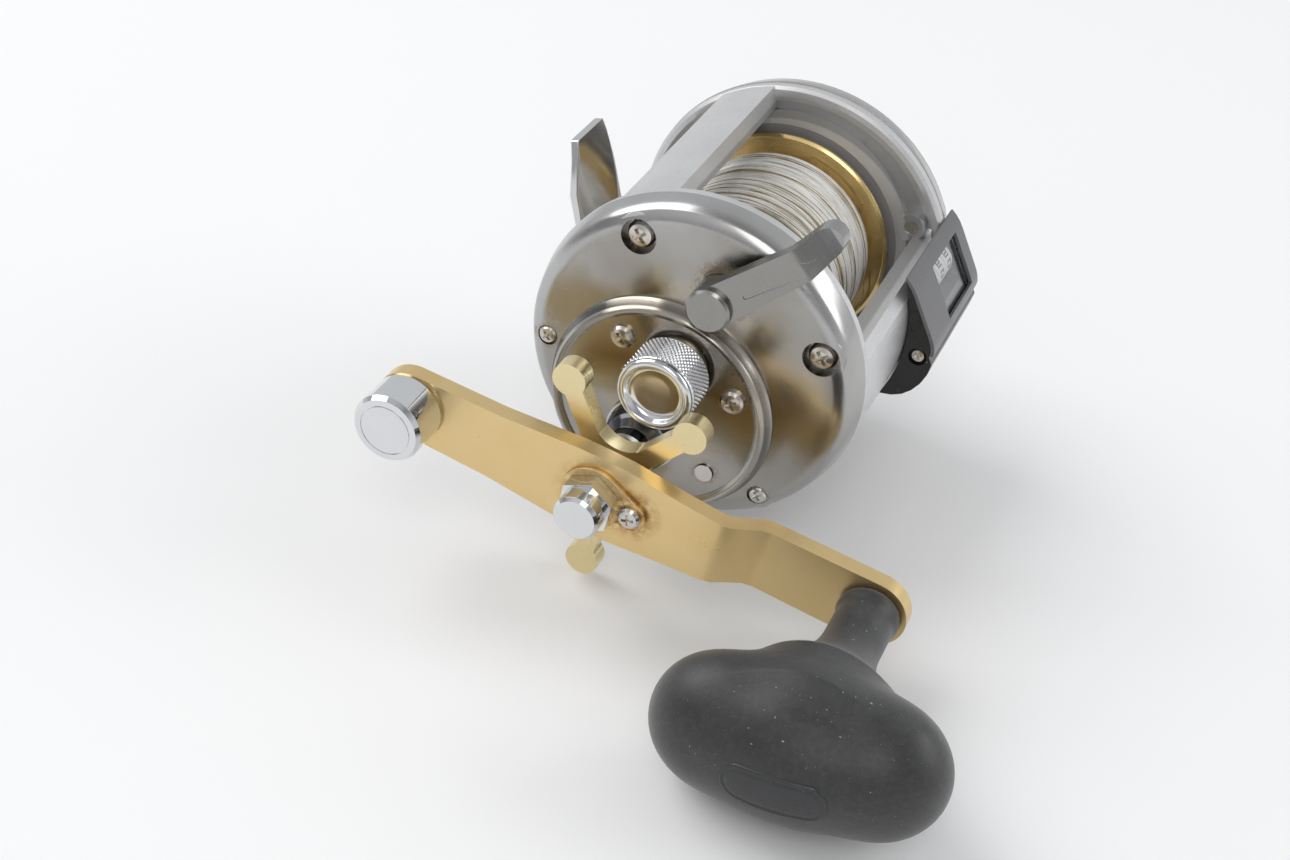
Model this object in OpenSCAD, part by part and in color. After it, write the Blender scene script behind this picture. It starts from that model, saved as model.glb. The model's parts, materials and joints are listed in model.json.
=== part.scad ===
// Round levelwind trolling reel with a line counter, right-hand wind.
// Frame: X along the spool axis towards the handle, Y forward (line exit), Z up from the foot.
// The origin is the centre of the reel foot's underside.

/* [Frame and plates] */
// Height of the side plates' centre above the foot's underside
axis_h = 30.5; // [30.5:0.1:31.5]
// Outer radius of the frame rings
ring_r = 33.2; // [33:0.1:33.6]
// Half width between the two side plate seams
seam_x = 27.2; // [27.2:0.1:27.6]
// Radius of the spool opening in the rings
opening_r = 24.1; // [24.1:0.05:24.3]

/* [Spool] */
// Radius of the spool flanges
flange_r = 23; // [22:0.1:23.2]
// Radius of the wound line
line_r = 20; // [14:0.5:21]

/* [Handle] */
// Handle throw, from the drive shaft to the grip spindle
throw = 54; // [50:0.5:58]
// Distance from the drive shaft to the counterweight
balance_arm = 38.7; // [36:0.1:42]
// Direction of the handle, measured from +Y towards +Z
handle_angle = 65; // [60:1:70]
// Thickness of the handle blade
blade_t = 3.4; // [3:0.1:3.6]

/* [Gears] */
// Teeth of the drive gear
drive_teeth = 63; // [63:63]
// Teeth of the pinion
pinion_teeth = 15; // [15:15]
// Module of the drive gear and pinion
drive_module = 0.425; // [0.42:0.005:0.43]
// Module of the levelwind and counter gears
train_module = 0.4; // [0.4:0.4]

/* [Clutch] */
// Travel of the yoke when the spool is released
yoke_travel = 1; // [0.8:0.1:1]

/* [Reel foot] */
// Length of the foot
foot_l = 68; // [60:1:70]
// Width of the foot
foot_w = 18.6; // [16:0.2:19]
// Thickness of the foot's plate
foot_t = 1.8; // [1.5:0.1:1.8]

/* [Hidden] */

big = 200;
round_fn = 96;
small_fn = 48;

// Axes, as [Y, Z] from the side plates' centre.
spool_at = [-1.1, -1.0];
gear_angle = -31.7;
gear_distance = drive_module * (drive_teeth + pinion_teeth) / 2;
drive_at = polar(spool_at, gear_distance, gear_angle);
boss_at = [7.8, -6.4];
lever_at = [-16.3, 10];

// Levelwind train, in a straight line from the spool.
spool_gear_teeth = 14;
idler_teeth = 53;
worm_gear_teeth = 16;
worm_angle = -8;
idler_at = polar(spool_at, train_module * (spool_gear_teeth + idler_teeth) / 2, worm_angle);
worm_at = polar(idler_at, train_module * (idler_teeth + worm_gear_teeth) / 2, worm_angle);

// Counter train, in a straight line from the levelwind idler to the counter axle.
counter_idler_teeth = 49;
counter_gear_teeth = 20;
counter_angle = 103.3;
counter_idler_at = polar(
    idler_at, train_module * (idler_teeth + counter_idler_teeth) / 2, counter_angle);
counter_at = polar(
    counter_idler_at, train_module * (counter_idler_teeth + counter_gear_teeth) / 2, counter_angle);

stabiliser_at = [27.2, 10.6];

// Places along X.
ring_inner_x = 24.6;
plate_rim_x = 31.6;
plate_face_x = 33.2;
boss_top_x = 36.4;
boss_floor_x = 35.5;
wall_t = 1.5;
cavity_r = 30.6;
boss_r = 22.7;
inner_plate_r = opening_r - 0.05;
inner_plate_x = 25.1;
blade_front_x = 59.3;
joggle = 4.5;
grip_base_x = blade_front_x - joggle + 0.4;
worm_r = 2.35;
guard_r = 3.1;

// A point at a distance and an angle from another one.
function polar(from, distance, angle) =
    [from[0] + distance * cos(angle), from[1] + distance * sin(angle)];

// Phase of a gear that meshes with a driver in a given direction from the driver.
function mesh_phase(driver_teeth, driver_phase, teeth, direction) =
    direction + 180 + 180 / teeth + (direction - driver_phase) * driver_teeth / teeth;

// Points of an arc about a centre.
function arc_points(centre, radius, from, to, steps) =
    [for (i = [0 : steps]) polar(centre, radius, from + (to - from) * i / steps)];

// ---------- helpers ----------

// Moves children to a [Y, Z] place, counted from the side plates' centre.
module at(place) {
    translate([0, place[0], axis_h + place[1]]) children();
}

// Cylinder along X between two X values.
module xcyl(from, to, radius, fn = round_fn) {
    translate([from, 0, 0]) rotate([0, 90, 0]) cylinder(h = to - from, r = radius, $fn = fn);
}

// Cone along X between two X values.
module xcone(from, to, radius_from, radius_to) {
    translate([from, 0, 0]) rotate([0, 90, 0])
        cylinder(h = to - from, r1 = radius_from, r2 = radius_to, $fn = round_fn);
}

// Ring along X between two X values.
module xtube(from, to, outer, inner) {
    difference() {
        xcyl(from, to, outer);
        xcyl(from - 1, to + 1, inner);
    }
}

// Solid turned about X from [radius, x] points.
module xturned(points) {
    rotate([0, 90, 0]) rotate_extrude($fn = round_fn) polygon(points);
}

// Extrudes a [Y, Z] outline along X.
module xplate(from, to) {
    translate([from, 0, 0]) rotate([90, 0, 90]) linear_extrude(to - from) children();
}

// Wedge of a large disc between two angles, less than half a turn apart.
module wedge(from, to) {
    polygon([[0, 0], polar([0, 0], big, from), polar([0, 0], big, (from + to) / 2),
             polar([0, 0], big, to)]);
}

// Capsule outline between two places.
module slot_shape(a, b, radius) {
    way = atan2(b[1] - a[1], b[0] - a[0]);
    union() {
        translate(a) circle(radius, $fn = small_fn);
        translate(b) circle(radius, $fn = small_fn);
        polygon([polar(a, radius, way + 90), polar(a, radius, way - 90),
                 polar(b, radius, way - 90), polar(b, radius, way + 90)]);
    }
}

// Spur gear outline with trapezoid teeth and some backlash; one tooth points along the phase.
module gear_shape(teeth, mod, phase) {
    pitch_r = teeth * mod / 2;
    step = 360 / teeth;
    polygon([for (i = [0 : teeth - 1], corner = [0 : 3])
        polar([0, 0],
              pitch_r + (corner == 0 || corner == 3 ? -1.15 : 0.75) * mod,
              phase + step * (i + [-0.33, -0.12, 0.12, 0.33][corner]))]);
}

// Gear between two X values, with a bore.
module gear(teeth, mod, phase, from, to, bore) {
    difference() {
        xplate(from, to) gear_shape(teeth, mod, phase);
        xcyl(from - 1, to + 1, bore);
    }
}

// Coil spring along X as a swept wire.
module coil_spring(from, to, radius, wire_r, turns) {
    sides = 6;
    rings = 10 * turns;
    pitch = (to - from - 2 * wire_r) / rings;
    points = [for (i = [0 : rings], j = [0 : sides - 1])
        let (a = 36 * i, b = 360 * j / sides, reach = radius + wire_r * cos(b))
            [from + wire_r + pitch * i + wire_r * sin(b), reach * cos(a), reach * sin(a)]];
    walls = [for (i = [0 : rings - 1], j = [0 : sides - 1])
        let (k = (j + 1) % sides)
            [i * sides + j, (i + 1) * sides + j, (i + 1) * sides + k, i * sides + k]];
    start = [[for (j = [0 : sides - 1]) j]];
    end = [[for (j = [sides - 1 : -1 : 0]) rings * sides + j]];
    polyhedron(points = points, faces = concat(walls, start, end), convexity = 10);
}

// Cross-recessed screw head, facing +X, with its shank behind it.
module cross_screw(head_x, head_r, head_h, shank_r, shank_l) {
    difference() {
        union() {
            xturned([[0, head_x - shank_l], [shank_r, head_x - shank_l], [shank_r, head_x],
                     [head_r, head_x], [head_r, head_x + head_h * 0.45],
                     [head_r * 0.8, head_x + head_h * 0.85], [head_r * 0.4, head_x + head_h],
                     [0, head_x + head_h]]);
        }
        for (turn = [0, 90])
            rotate([turn + 20, 0, 0])
                translate([head_x + head_h * 0.35, -head_r * 0.55, -head_r * 0.13])
                    cube([head_h, head_r * 1.1, head_r * 0.26]);
    }
}

// ---------- frame ----------

// One frame ring with its rim, groove and the raised crescent round the spool opening.
module ring(side) {
    mirror([side < 0 ? 1 : 0, 0, 0]) {
        xturned([[0, 26], [30.3, 26], [30.8, 24.9], [31.6, ring_inner_x], [32.6, 24.8],
                 [ring_r, 25.4], [ring_r, seam_x], [0, seam_x]]);
        translate([0, -3.1, 0.6]) xcyl(25, 26.2, 25);
    }
}

// Crossbars between the rings.
module crossbars() {
    reach = 26;
    // Rear bar, low behind the spool
    xplate(-reach, reach) intersection() {
        difference() {
            circle(ring_r - 0.1, $fn = round_fn);
            circle(28.6, $fn = round_fn);
        }
        wedge(178.5, 199);
    }
    // Top bar, with a bevelled rear edge
    xplate(-reach, reach) intersection() {
        circle(ring_r - 0.1, $fn = round_fn);
        polygon([[-1.2, 27.2], [-0.8, 31.4], [1.2, 32.9], [17.6, 34], [17.6, 24.4], [15.6, 23.8]]);
    }
    // Foot bar
    xplate(-reach, reach)
        polygon([[-13.5, -25.2], [11.5, -25.2], [13, -27.4], [12, foot_t - axis_h],
                 [-14, foot_t - axis_h], [-15, -27.4]]);
    // Lower front bar
    xplate(-reach, reach) intersection() {
        difference() {
            circle(ring_r - 0.1, $fn = round_fn);
            circle(29.6, $fn = round_fn);
        }
        wedge(-47, -36);
    }
}

module frame() {
    color("lightslategray") difference() {
        union() {
            at([0, 0]) {
                ring(1);
                ring(-1);
                crossbars();
                // Bosses for the large screws, and the fillets beside the top bar
                for (side = [0, 1]) mirror([side, 0, 0]) {
                    for (place = large_screw_places)
                        translate([0, place[0], place[1]]) xcyl(23.4, 26.4, 2.8, small_fn);
                    translate([25.6, -1.1, 24.6]) cylinder(h = 6.4, r = 1.5, $fn = small_fn);
                }
            }
            // Trough under the digit wheels
            intersection() {
                at(counter_at) xcyl(wheel_x[0] - 1, wheel_x[2] + wheel_w + 1, wheel_r + 0.95);
                at([0, 0]) xcyl(-seam_x, 0, ring_r - 0.2);
            }
        }
        at(spool_at) xcyl(-big, big, opening_r);
        // Pocket for the digit wheels, open at the top
        at(counter_at) xcyl(wheel_x[0] - 0.3, wheel_x[2] + wheel_w + 0.3, wheel_r + 0.35);
        at(counter_at) translate([wheel_x[0] - 0.3, -wheel_r - 0.35, 0])
            cube([3 * wheel_w + 1.2, 2 * wheel_r + 0.7, 10]);
        at(counter_at) xcyl(-40, -9, axle_r + 0.02, small_fn);
        // Ends of the levelwind guard and the stabiliser bar
        at(worm_at) xcyl(-big, big, guard_r + 0.02);
        at(stabiliser_at) xcyl(-big, big, 1.62, small_fn);
        // Rivet holes for the foot
        for (x = [-6, 6], y = [-8, 6]) translate([x, y, 0]) cylinder(h = 8, r = 1.4, $fn = small_fn);
        // Threads for the side plate screws
        for (place = large_screw_places, side = [0, 1])
            at(place) mirror([side, 0, 0]) xcyl(22, 40, 1.52, small_fn);
        for (place = small_screw_places, side = [0, 1])
            at(place) mirror([side, 0, 0]) xcyl(22, 40, 1.22, small_fn);
    }
}

// ---------- side plates and inner plates ----------

large_screw_places = [[-26.8, -5.1], [-3.4, 27.2]];
small_screw_places = [[-5.4, -28.1]];
large_head_r = 2.75;
small_head_r = 1.85;

// Shell shared by both side plates, facing +X.
module plate_shell() {
    difference() {
        xturned([[0, seam_x], [ring_r + 0.1, seam_x], [ring_r, 28], [32.3, plate_rim_x],
                 [31.9, plate_rim_x + 0.5], [31, plate_face_x - 0.45], [29.9, plate_face_x - 0.1],
                 [28.8, plate_face_x], [0, plate_face_x]]);
        xturned([[0, seam_x - 1], [cavity_r, seam_x - 1], [cavity_r, 30.6], [29.6, plate_face_x - wall_t],
                 [0, plate_face_x - wall_t]]);
    }
}

// Pads inside a side plate that take its screws.
module screw_pads(places, radius) {
    for (place = places)
        translate([0, place[0], place[1]]) {
            xcyl(seam_x, plate_face_x - 0.6, 3, small_fn);
            xcyl(29.9, plate_face_x - 0.6, radius, small_fn);
        }
}

// Screw holes and counterbores in a side plate.
module screw_cuts() {
    for (place = large_screw_places) translate([0, place[0], place[1]]) {
        xcyl(20, 40, 1.62, small_fn);
        xcyl(30.6, 40, 3.5, small_fn);
    }
    for (place = small_screw_places) translate([0, place[0], place[1]]) {
        xcyl(20, 40, 1.32, small_fn);
        xcyl(plate_face_x - 0.9, 40, 2.1, small_fn);
    }
}

module right_side_plate() {
    hub_r = 6.4;
    color("silver") at([0, 0]) difference() {
        union() {
            difference() {
                union() {
                    plate_shell();
                    // Gear housing boss with a rounded rim round a sunk face
                    translate([0, boss_at[0], boss_at[1]])
                        xturned([[0, 31], [boss_r, 31], [boss_r, 33.6], [boss_r - 0.5, 34.3],
                                 [boss_r - 0.8, 35.3], [boss_r - 1.1, 36], [boss_r - 1.6, boss_top_x],
                                 [boss_r - 2.2, 36.2], [boss_r - 2.9, boss_floor_x], [0, boss_floor_x]]);
                }
                // Gear cavity
                translate([0, boss_at[0], boss_at[1]]) xcyl(20, boss_floor_x - wall_t, 20.9);
            }
            intersection() {
                screw_pads(large_screw_places, 4.6);
                xcyl(20, plate_face_x, 32.2);
            }
            intersection() {
                screw_pads(concat(small_screw_places, [stabiliser_at]), 3);
                xcyl(20, plate_face_x, 32.2);
            }
            // Hub for the spool bearing, under the cast control cap
            translate([0, spool_at[0], spool_at[1]]) xcyl(34, 44, hub_r);
            // Boss for the clutch lever's shaft
            translate([0, lever_at[0], lever_at[1]]) xcyl(31.5, 34.4, 4.6, small_fn);
            // Pads for the housing screws
            for (place = housing_screw_places)
                translate([0, place[0], place[1]]) xcyl(31.4, boss_floor_x, 1.8, small_fn);
            translate([0, stud_at[0], stud_at[1]]) xcyl(33.9, boss_floor_x, 3, small_fn);
        }
        screw_cuts();
        translate([0, stabiliser_at[0], stabiliser_at[1]]) {
            xcyl(20, 40, 1.32, small_fn);
            xcyl(plate_face_x - 0.9, 40, 2.1, small_fn);
        }
        // Bore for the pinion, bearing seat and shaft end
        translate([0, spool_at[0], spool_at[1]]) {
            xcyl(20, 39.2, 4.2);
            xcyl(38.8, 41.6, 4.52);
            xcyl(41, 45, 2.3, small_fn);
        }
        translate([0, drive_at[0], drive_at[1]]) xcyl(33, 40, 7.52);
        translate([0, lever_at[0], lever_at[1]]) xcyl(20, 40, 2.05, small_fn);
        for (place = housing_screw_places)
            translate([0, place[0], place[1]]) xcyl(31, 40, 1.22, small_fn);
        translate([0, stud_at[0], stud_at[1]]) xcyl(34.6, 40, 1.9, small_fn);
        translate([0, worm_at[0], worm_at[1]]) xcyl(20, 30.4, 3.02, small_fn);
    }
}

housing_screw_places = [[-7.5, -10.6], [5.2, 9.7]];
stud_at = [21.4, 1.4];

module left_side_plate() {
    color("silver") at([0, 0]) difference() {
        mirror([1, 0, 0]) difference() {
            union() {
                plate_shell();
                // Raised round of the left plate
                difference() {
                    xturned([[0, 32], [22, 32], [22, 33.8], [21.2, 35.6], [20, 36.2], [0, 36.2]]);
                    xcyl(20, 34.7, 20.4);
                }
                intersection() {
                    union() {
                        screw_pads(large_screw_places, 4.6);
                        screw_pads(concat(small_screw_places, [stabiliser_at]), 3);
                    }
                    xcyl(20, plate_face_x, 32.2);
                }
                // Hub for the spool bearing
                translate([0, spool_at[0], spool_at[1]]) xcyl(32.4, 39, 6.4);
            }
            screw_cuts();
            translate([0, stabiliser_at[0], stabiliser_at[1]]) {
                xcyl(20, 40, 1.32, small_fn);
                xcyl(plate_face_x - 0.9, 40, 2.1, small_fn);
            }
            translate([0, spool_at[0], spool_at[1]]) {
                xcyl(20, 35.6, 4.52);
                xcyl(35, 38.2, 2.2, small_fn);
            }
            translate([0, worm_at[0], worm_at[1]]) xcyl(20, 27.8, 3.02, small_fn);
            // Slot that the clicker button slides in
            xplate(30, 40) slot_shape(clicker_at, [clicker_at[0], clicker_at[1] + clicker_travel], 1.5);
        }
        // Opening in the rim where the counter idler meets the counter gear
        translate([-30, counter_at[0] - 4.7, 24]) cube([3, 9.4, 12]);
    }
}

module inner_plate_blank() {
    xcyl(inner_plate_x, seam_x - 0.2, inner_plate_r);
}

module right_inner_plate() {
    color("dimgray") difference() {
        union() {
            at(spool_at) inner_plate_blank();
            for (place = yoke_post_places) at(place) xcyl(26, 33.6, post_r, small_fn);
            at(pawl_at) xcyl(26, 29.3, 0.9, small_fn);
        }
        at(spool_at) xcyl(20, 30, 5.2);
        at(drive_at) xcyl(20, 30, 3.52);
        at(lever_at) xcyl(20, 30, 2.05, small_fn);
    }
}

module left_inner_plate() {
    color("dimgray") difference() {
        union() {
            at(spool_at) mirror([1, 0, 0]) inner_plate_blank();
            at(idler_at) xcyl(-29.7, -26, 1.2, small_fn);
            at(counter_idler_at) xcyl(-29.7, -26, 1.2, small_fn);
        }
        at(spool_at) xcyl(-30, -20, 5.2);
    }
}

// ---------- reel foot ----------

module foot_plan() {
    half_l = foot_l / 2;
    half_w = foot_w / 2;
    tip_w = 0.64 * half_w;
    polygon([[tip_w, -half_l], [half_w, -0.7 * half_l], [half_w, 0.7 * half_l], [tip_w, half_l],
             [-tip_w, half_l], [-half_w, 0.7 * half_l], [-half_w, -0.7 * half_l], [-tip_w, -half_l]]);
}

module reel_foot() {
    lip = 0.8;
    color("silver") difference() {
        intersection() {
            translate([0, 0, -lip]) linear_extrude(foot_t + lip) foot_plan();
            // Cross-section: flat web with the long edges bent down
            rotate([90, 0, 0]) linear_extrude(foot_l + 2, center = true)
                polygon([[-10, -lip], [-7, 0], [7, 0], [10, -lip], [10, 0.9], [6.6, foot_t],
                         [-6.6, foot_t], [-10, 0.9]]);
        }
        for (x = [-6, 6], y = [-8, 6]) translate([x, y, -1]) cylinder(h = 8, r = 1.42, $fn = small_fn);
    }
}

module foot_rivets() {
    color("gray") for (x = [-6, 6], y = [-8, 6]) translate([x, y, 0.25])
        cylinder(h = 5, r = 1.38, $fn = small_fn);
}

// ---------- spool group ----------

module spool() {
    core_r = 9;
    color("goldenrod") at(spool_at) difference() {
        xturned([[0, -23.6], [flange_r - 0.8, -23.6], [flange_r, -23.2], [flange_r, -22.6],
                 [flange_r - 0.7, -22.2], [21, -22.4], [core_r, -21.6], [core_r, 21.6], [21, 22.4],
                 [flange_r - 0.7, 22.2], [flange_r, 22.6], [flange_r, 23.2], [flange_r - 0.8, 23.6],
                 [0, 23.6]]);
        xcyl(-30, 30, 2.52, small_fn);
        for (side = [0, 1]) mirror([side, 0, 0]) xtube(22.9, 30, 17, 6.5);
    }
}

module wound_line() {
    color("ivory") at(spool_at) xtube(-21.4, 21.4, line_r, 9.05);
}

module spool_shaft() {
    color("lightgray") at(spool_at) {
        xturned([[0, -35.6], [1.2, -35.6], [1.5, -35.3], [1.5, -24.4], [2.5, -24.2], [2.5, 24.2],
                 [1.5, 24.4], [1.5, 41.7], [1.2, 42], [0, 42]]);
        // Cross pin that the pinion's slot engages
        translate([27.4, 0, 0]) cylinder(h = 6.4, r = 0.6, center = true, $fn = 24);
    }
}

// Ball bearing about the spool axis with shielded faces.
module bearing(from, to, outer, inner) {
    difference() {
        xturned([[0, from], [outer, from], [outer, to], [0, to]]);
        xcyl(from - 1, to + 1, inner, small_fn);
        for (face = [from - 1, to - 0.25]) xtube(face, face + 1.25, outer - 0.7, inner + 0.7);
    }
}

module spool_bearings() {
    color("silver") at(spool_at) for (from = [38.9, -34.9]) bearing(from, from + 2.1, 4.5, 1.55);
}

module left_bearing_cap() {
    color("silver") at(spool_at) difference() {
        xturned([[0, -41], [6.6, -41], [7.4, -40.2], [7.4, -36.4], [0, -36.4]]);
        xcyl(-39.1, -30, 6.42);
    }
}

module click_ratchet() {
    teeth = 24;
    color("gray") at(spool_at) difference() {
        xplate(-24.6, -23.62) polygon([for (i = [0 : 2 * teeth - 1])
            polar([0, 0], i % 2 == 0 ? 5 : 4.2, 180 / teeth * i)]);
        xcyl(-30, -20, 2.53, small_fn);
    }
}

module spool_gear() {
    color("darkgoldenrod") at(spool_at)
        gear(spool_gear_teeth, train_module, worm_angle, -31.8, -27.9, 1.5);
}

// ---------- clutch and pinion ----------

post_r = 0.8;
yoke_post_places = [for (side = [-1, 1]) polar(spool_at, 7.8, gear_angle + 90 * side)];
pawl_at = polar(drive_at, 12.2, 62);

module pinion() {
    color("darkgoldenrod") at(spool_at) difference() {
        union() {
            xcyl(26.8, 28.1, 4.1);
            xcyl(26.8, 36.2, 2.6);
            xcyl(29.7, 30.1, 3.8);
            xplate(30.1, 36.2)
                gear_shape(pinion_teeth, drive_module, gear_angle + 180 / pinion_teeth);
        }
        xcyl(20, 40, 1.58, small_fn);
        // Slot for the spool shaft's cross pin
        translate([26, -0.75, -5]) cube([2.1, 1.5, 10]);
    }
}

// Outline of the yoke: a fork across the pinion's groove with an ear for each spring post.
module yoke_shape() {
    union() {
        difference() {
            union() {
                slot_shape(yoke_post_places[0], yoke_post_places[1], 2);
                translate(spool_at) circle(4.6, $fn = round_fn);
                slot_shape(spool_at, ear_at, ear_r);
            }
            slot_shape(spool_at, polar(spool_at, 20, gear_angle), 2.9);
        }
    }
}

ear_r = 1.2;
ear_angle = 144.1;
ear_at = polar(spool_at, 9.2, ear_angle);

module yoke() {
    color("gainsboro") difference() {
        at([0, 0]) xplate(28.4, 29.4) yoke_shape();
        for (place = yoke_post_places) at(place) xcyl(28, 30, post_r + 0.08, small_fn);
    }
}

module yoke_springs() {
    color("gray") for (place = yoke_post_places) at(place) coil_spring(29.45, 33.95, 1.3, 0.2, 5);
}

// Side view of the lever's arm in [distance from the pivot, X]: flat, then bent back at the tip.
module lever_side() {
    polygon([[-6, 36.2], [19, 36.4], [21.4, 35.2], [24.2, 32.6], [27, 31.6], [29.5, 31.8],
             [29.5, 35], [27, 35.3], [24.8, 36.4], [22, 39], [20.4, 39.9], [-6, 40.3]]);
}

module clutch_lever() {
    lever_angle = 118;
    lever_groove_t = 0.4;
    ramp_from = 7;
    ramp_to = 10.4;
    ramp_start = -28;
    color("darkgray") at(lever_at) {
        // Shaft and pivot cap
        xcyl(26, 36, 2, small_fn);
        xturned([[0, 34.7], [4.3, 34.7], [4.3, 41], [3.8, 41.5], [0, 41.5]]);
        // Arm with a bent thumb pad and a long groove in its face
        rotate([lever_angle, 0, 0]) difference() {
            intersection() {
                xplate(30, 42) union() {
                    polygon([[0, 3.9], [20, 2.5], [25.2, 2.6], [25.2, -3], [21, -3.8], [0, -3.9]]);
                    translate([25.2, -0.2]) circle(2.8, $fn = small_fn);
                }
                translate([0, 0, -10]) linear_extrude(20) mirror([1, -1, 0]) lever_side();
            }
            xplate(40.3 - lever_groove_t, 44) slot_shape([7.7, -1.1], [18.4, -2.1], 0.4);
        }
        // Crank inside the housing, with the ramp that lifts the yoke
        rotate([-15, 0, 0]) xplate(27.25, 28.05) intersection() {
            difference() {
                circle(ramp_to, $fn = round_fn);
                circle(1.9, $fn = small_fn);
            }
            polygon([[0, 2.2], [0, -2.2], [ramp_to, -4.2], [ramp_to + 2, 0], [ramp_to, 4.2]]);
        }
        rotate([-15, 0, 0]) translate([0, ramp_from, 0]) rotate([-90, 0, 0])
            linear_extrude(ramp_to - ramp_from - 0.4)
                polygon([[27.5, 1.4], [28.05, 2], [28.05 + yoke_travel, -1.9], [28.05 + yoke_travel, -2.9],
                         [27.5, -2.9]]);
    }
}

// ---------- drive group ----------

module drive_shaft() {
    color("lightgray") at(drive_at) difference() {
        xturned([[0, 24.7], [2.2, 24.7], [2.5, 25], [2.5, 27.3], [4, 27.3], [4, 27.6], [3, 27.6],
                 [3, 55.6], [3, 60.2], [2.4, 60.2], [2.4, 65], [0, 65]]);
        // Flats for the star's sleeve and the handle
        for (turn = [0, 180]) rotate([turn, 0, 0]) translate([52, 2.4, -5]) cube([8.3, 5, 10]);
    }
}

// One bush for the drive shaft and one at each end of the worm
module plain_bushes() {
    color("darkgoldenrod") {
        at(drive_at) xtube(24.9, 27.1, 3.5, 2.55);
        for (side = [0, 1]) at(worm_at) mirror([side, 0, 0])
            xtube(25.9, 26.95, worm_r + 0.25, 1.25);
    }
}

module ratchet_wheel() {
    teeth = 12;
    color("gray") at(drive_at) difference() {
        xplate(27.7, 28.9) polygon([for (i = [0 : teeth - 1], tip = [0, 1])
            polar([0, 0], tip == 0 ? 8.4 : 7.1, 360 / teeth * (i + tip * 0.12))]);
        xcyl(20, 40, 3, small_fn);
    }
}

module anti_reverse_pawl() {
    color("silver") difference() {
        at([0, 0]) xplate(27.7, 28.9) union() {
            slot_shape(pawl_at, polar(pawl_at, 3.4, 180 + 62 + 42), 0.9);
            translate(pawl_at) circle(1.9, $fn = small_fn);
        }
        at(pawl_at) xcyl(20, 40, 0.95, small_fn);
    }
}

module drive_gear() {
    color("darkgoldenrod") at(drive_at) difference() {
        xplate(31.4, 33.4) gear_shape(drive_teeth, drive_module, gear_angle + 180);
        xcyl(20, 40, 3.02, small_fn);
        xcyl(31.9, 40, 10.6);
    }
}

module drag_washers() {
    color("dimgray") at(drive_at) for (i = [0 : 3]) translate([0.37 * i, 0, 0])
        xtube(31.92, 32.27, i % 2 == 0 ? 10.4 : 9.8, 3.02);
}

module roller_clutch() {
    color("silver") at(drive_at) difference() {
        xcyl(33.9, 36.9, 7.5);
        xcyl(30, 40, 5.06);
        xtube(36.5, 40, 6.9, 5.7);
    }
}

module drag_sleeve() {
    color("darkslategray") at(drive_at) difference() {
        xturned([[0, 33.45], [5, 33.45], [5, 37.2], [6.7, 37.2], [6.9, 38.2], [6.3, 40.4], [4.6, 42.2],
                 [4.6, 44.6], [0, 44.6]]);
        xcyl(20, 60, 3.02, small_fn);
    }
}

module spring_washers() {
    color("silver") at(drive_at) for (i = [0 : 2]) translate([0.55 * i, 0, 0])
        difference() {
            xcone(44.62, 45.2, i % 2 == 0 ? 4.6 : 3.9, i % 2 == 0 ? 3.9 : 4.6);
            xcyl(40, 50, 3.02, small_fn);
        }
}

// One rounded paddle arm of the star, out to a given radius.
module star_arm(reach) {
    slot_shape([0, 0], [reach - 3.3, 0], 1.9);
    translate([reach - 3.4, 0]) circle(3.3, $fn = small_fn);
}

module star_shape() {
    arms = 5;
    first_arm = 46.8;
    difference() {
        union() {
            circle(9.5, $fn = round_fn);
            for (i = [0 : arms - 1]) rotate(first_arm + 360 / arms * i) star_arm(24.2);
        }
        // Round bays between the arms
        for (i = [0 : arms - 1])
            rotate(first_arm + 180 / arms + 360 / arms * i) translate([13.4, 0]) circle(6, $fn = round_fn);
    }
}

module star_drag() {
    color("khaki") at(drive_at) difference() {
        union() {
            xplate(49.6, 53.3) star_shape();
            xturned([[0, 46.6], [5.2, 46.6], [6.4, 49.4], [6, 53.5], [0, 53.5]]);
        }
        xcyl(40, 60, 3.08, small_fn);
    }
}

module handle_spacer() {
    color("khaki") at(drive_at) xtube(53.85, 55.85, 4.6, 3.02);
}

// Outline of the handle blade: the counterweight end, the hub and the grip end.
module blade_shape() {
    cw_r = 6.9;
    hub_r = 8.8;
    neck_r = 6.6;
    end_r = 6.9;
    polygon(concat(
        arc_points([-balance_arm, 0], cw_r, 270, 90, 36),
        [[-21, 7.3], [-5, hub_r - 0.1], [0, hub_r], [5, hub_r - 0.1], [17, 7.4], [28, neck_r]],
        arc_points([throw, 0], end_r, 90, -90, 36),
        [[28, -neck_r], [17, -7.4], [5, 0.1 - hub_r], [0, -hub_r], [-5, 0.1 - hub_r], [-21, -7.3]]));
}

// Side view of the blade in [distance along the blade, X]: flat, a joggle, then flat again.
module blade_side() {
    front = blade_front_x;
    back = front - blade_t;
    polygon([[-60, back], [23, back], [25, back - 0.5], [30, back - joggle + 0.5],
             [32, back - joggle], [70, back - joggle], [70, front - joggle],
             [32.6, front - joggle], [30.6, front - joggle + 0.5], [25.6, front - 0.5],
             [23.6, front], [-60, front]]);
}

module handle_blade() {
    color("goldenrod") at(drive_at) rotate([handle_angle, 0, 0]) difference() {
        intersection() {
            xplate(40, 70) blade_shape();
            // Turns the side view so its first axis is Y and its second is X
            translate([0, 0, -20]) linear_extrude(40) mirror([1, -1, 0]) blade_side();
        }
        xcyl(40, 70, 3.02, small_fn);
        translate([0, throw, 0]) xcyl(40, 70, 2.42, small_fn);
        translate([0, -balance_arm, 0]) xcyl(40, 70, 1.82, small_fn);
        translate([0, retainer_reach, 0]) xcyl(57, 70, 1.02, small_fn);
    }
}

retainer_reach = 7.9;

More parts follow.
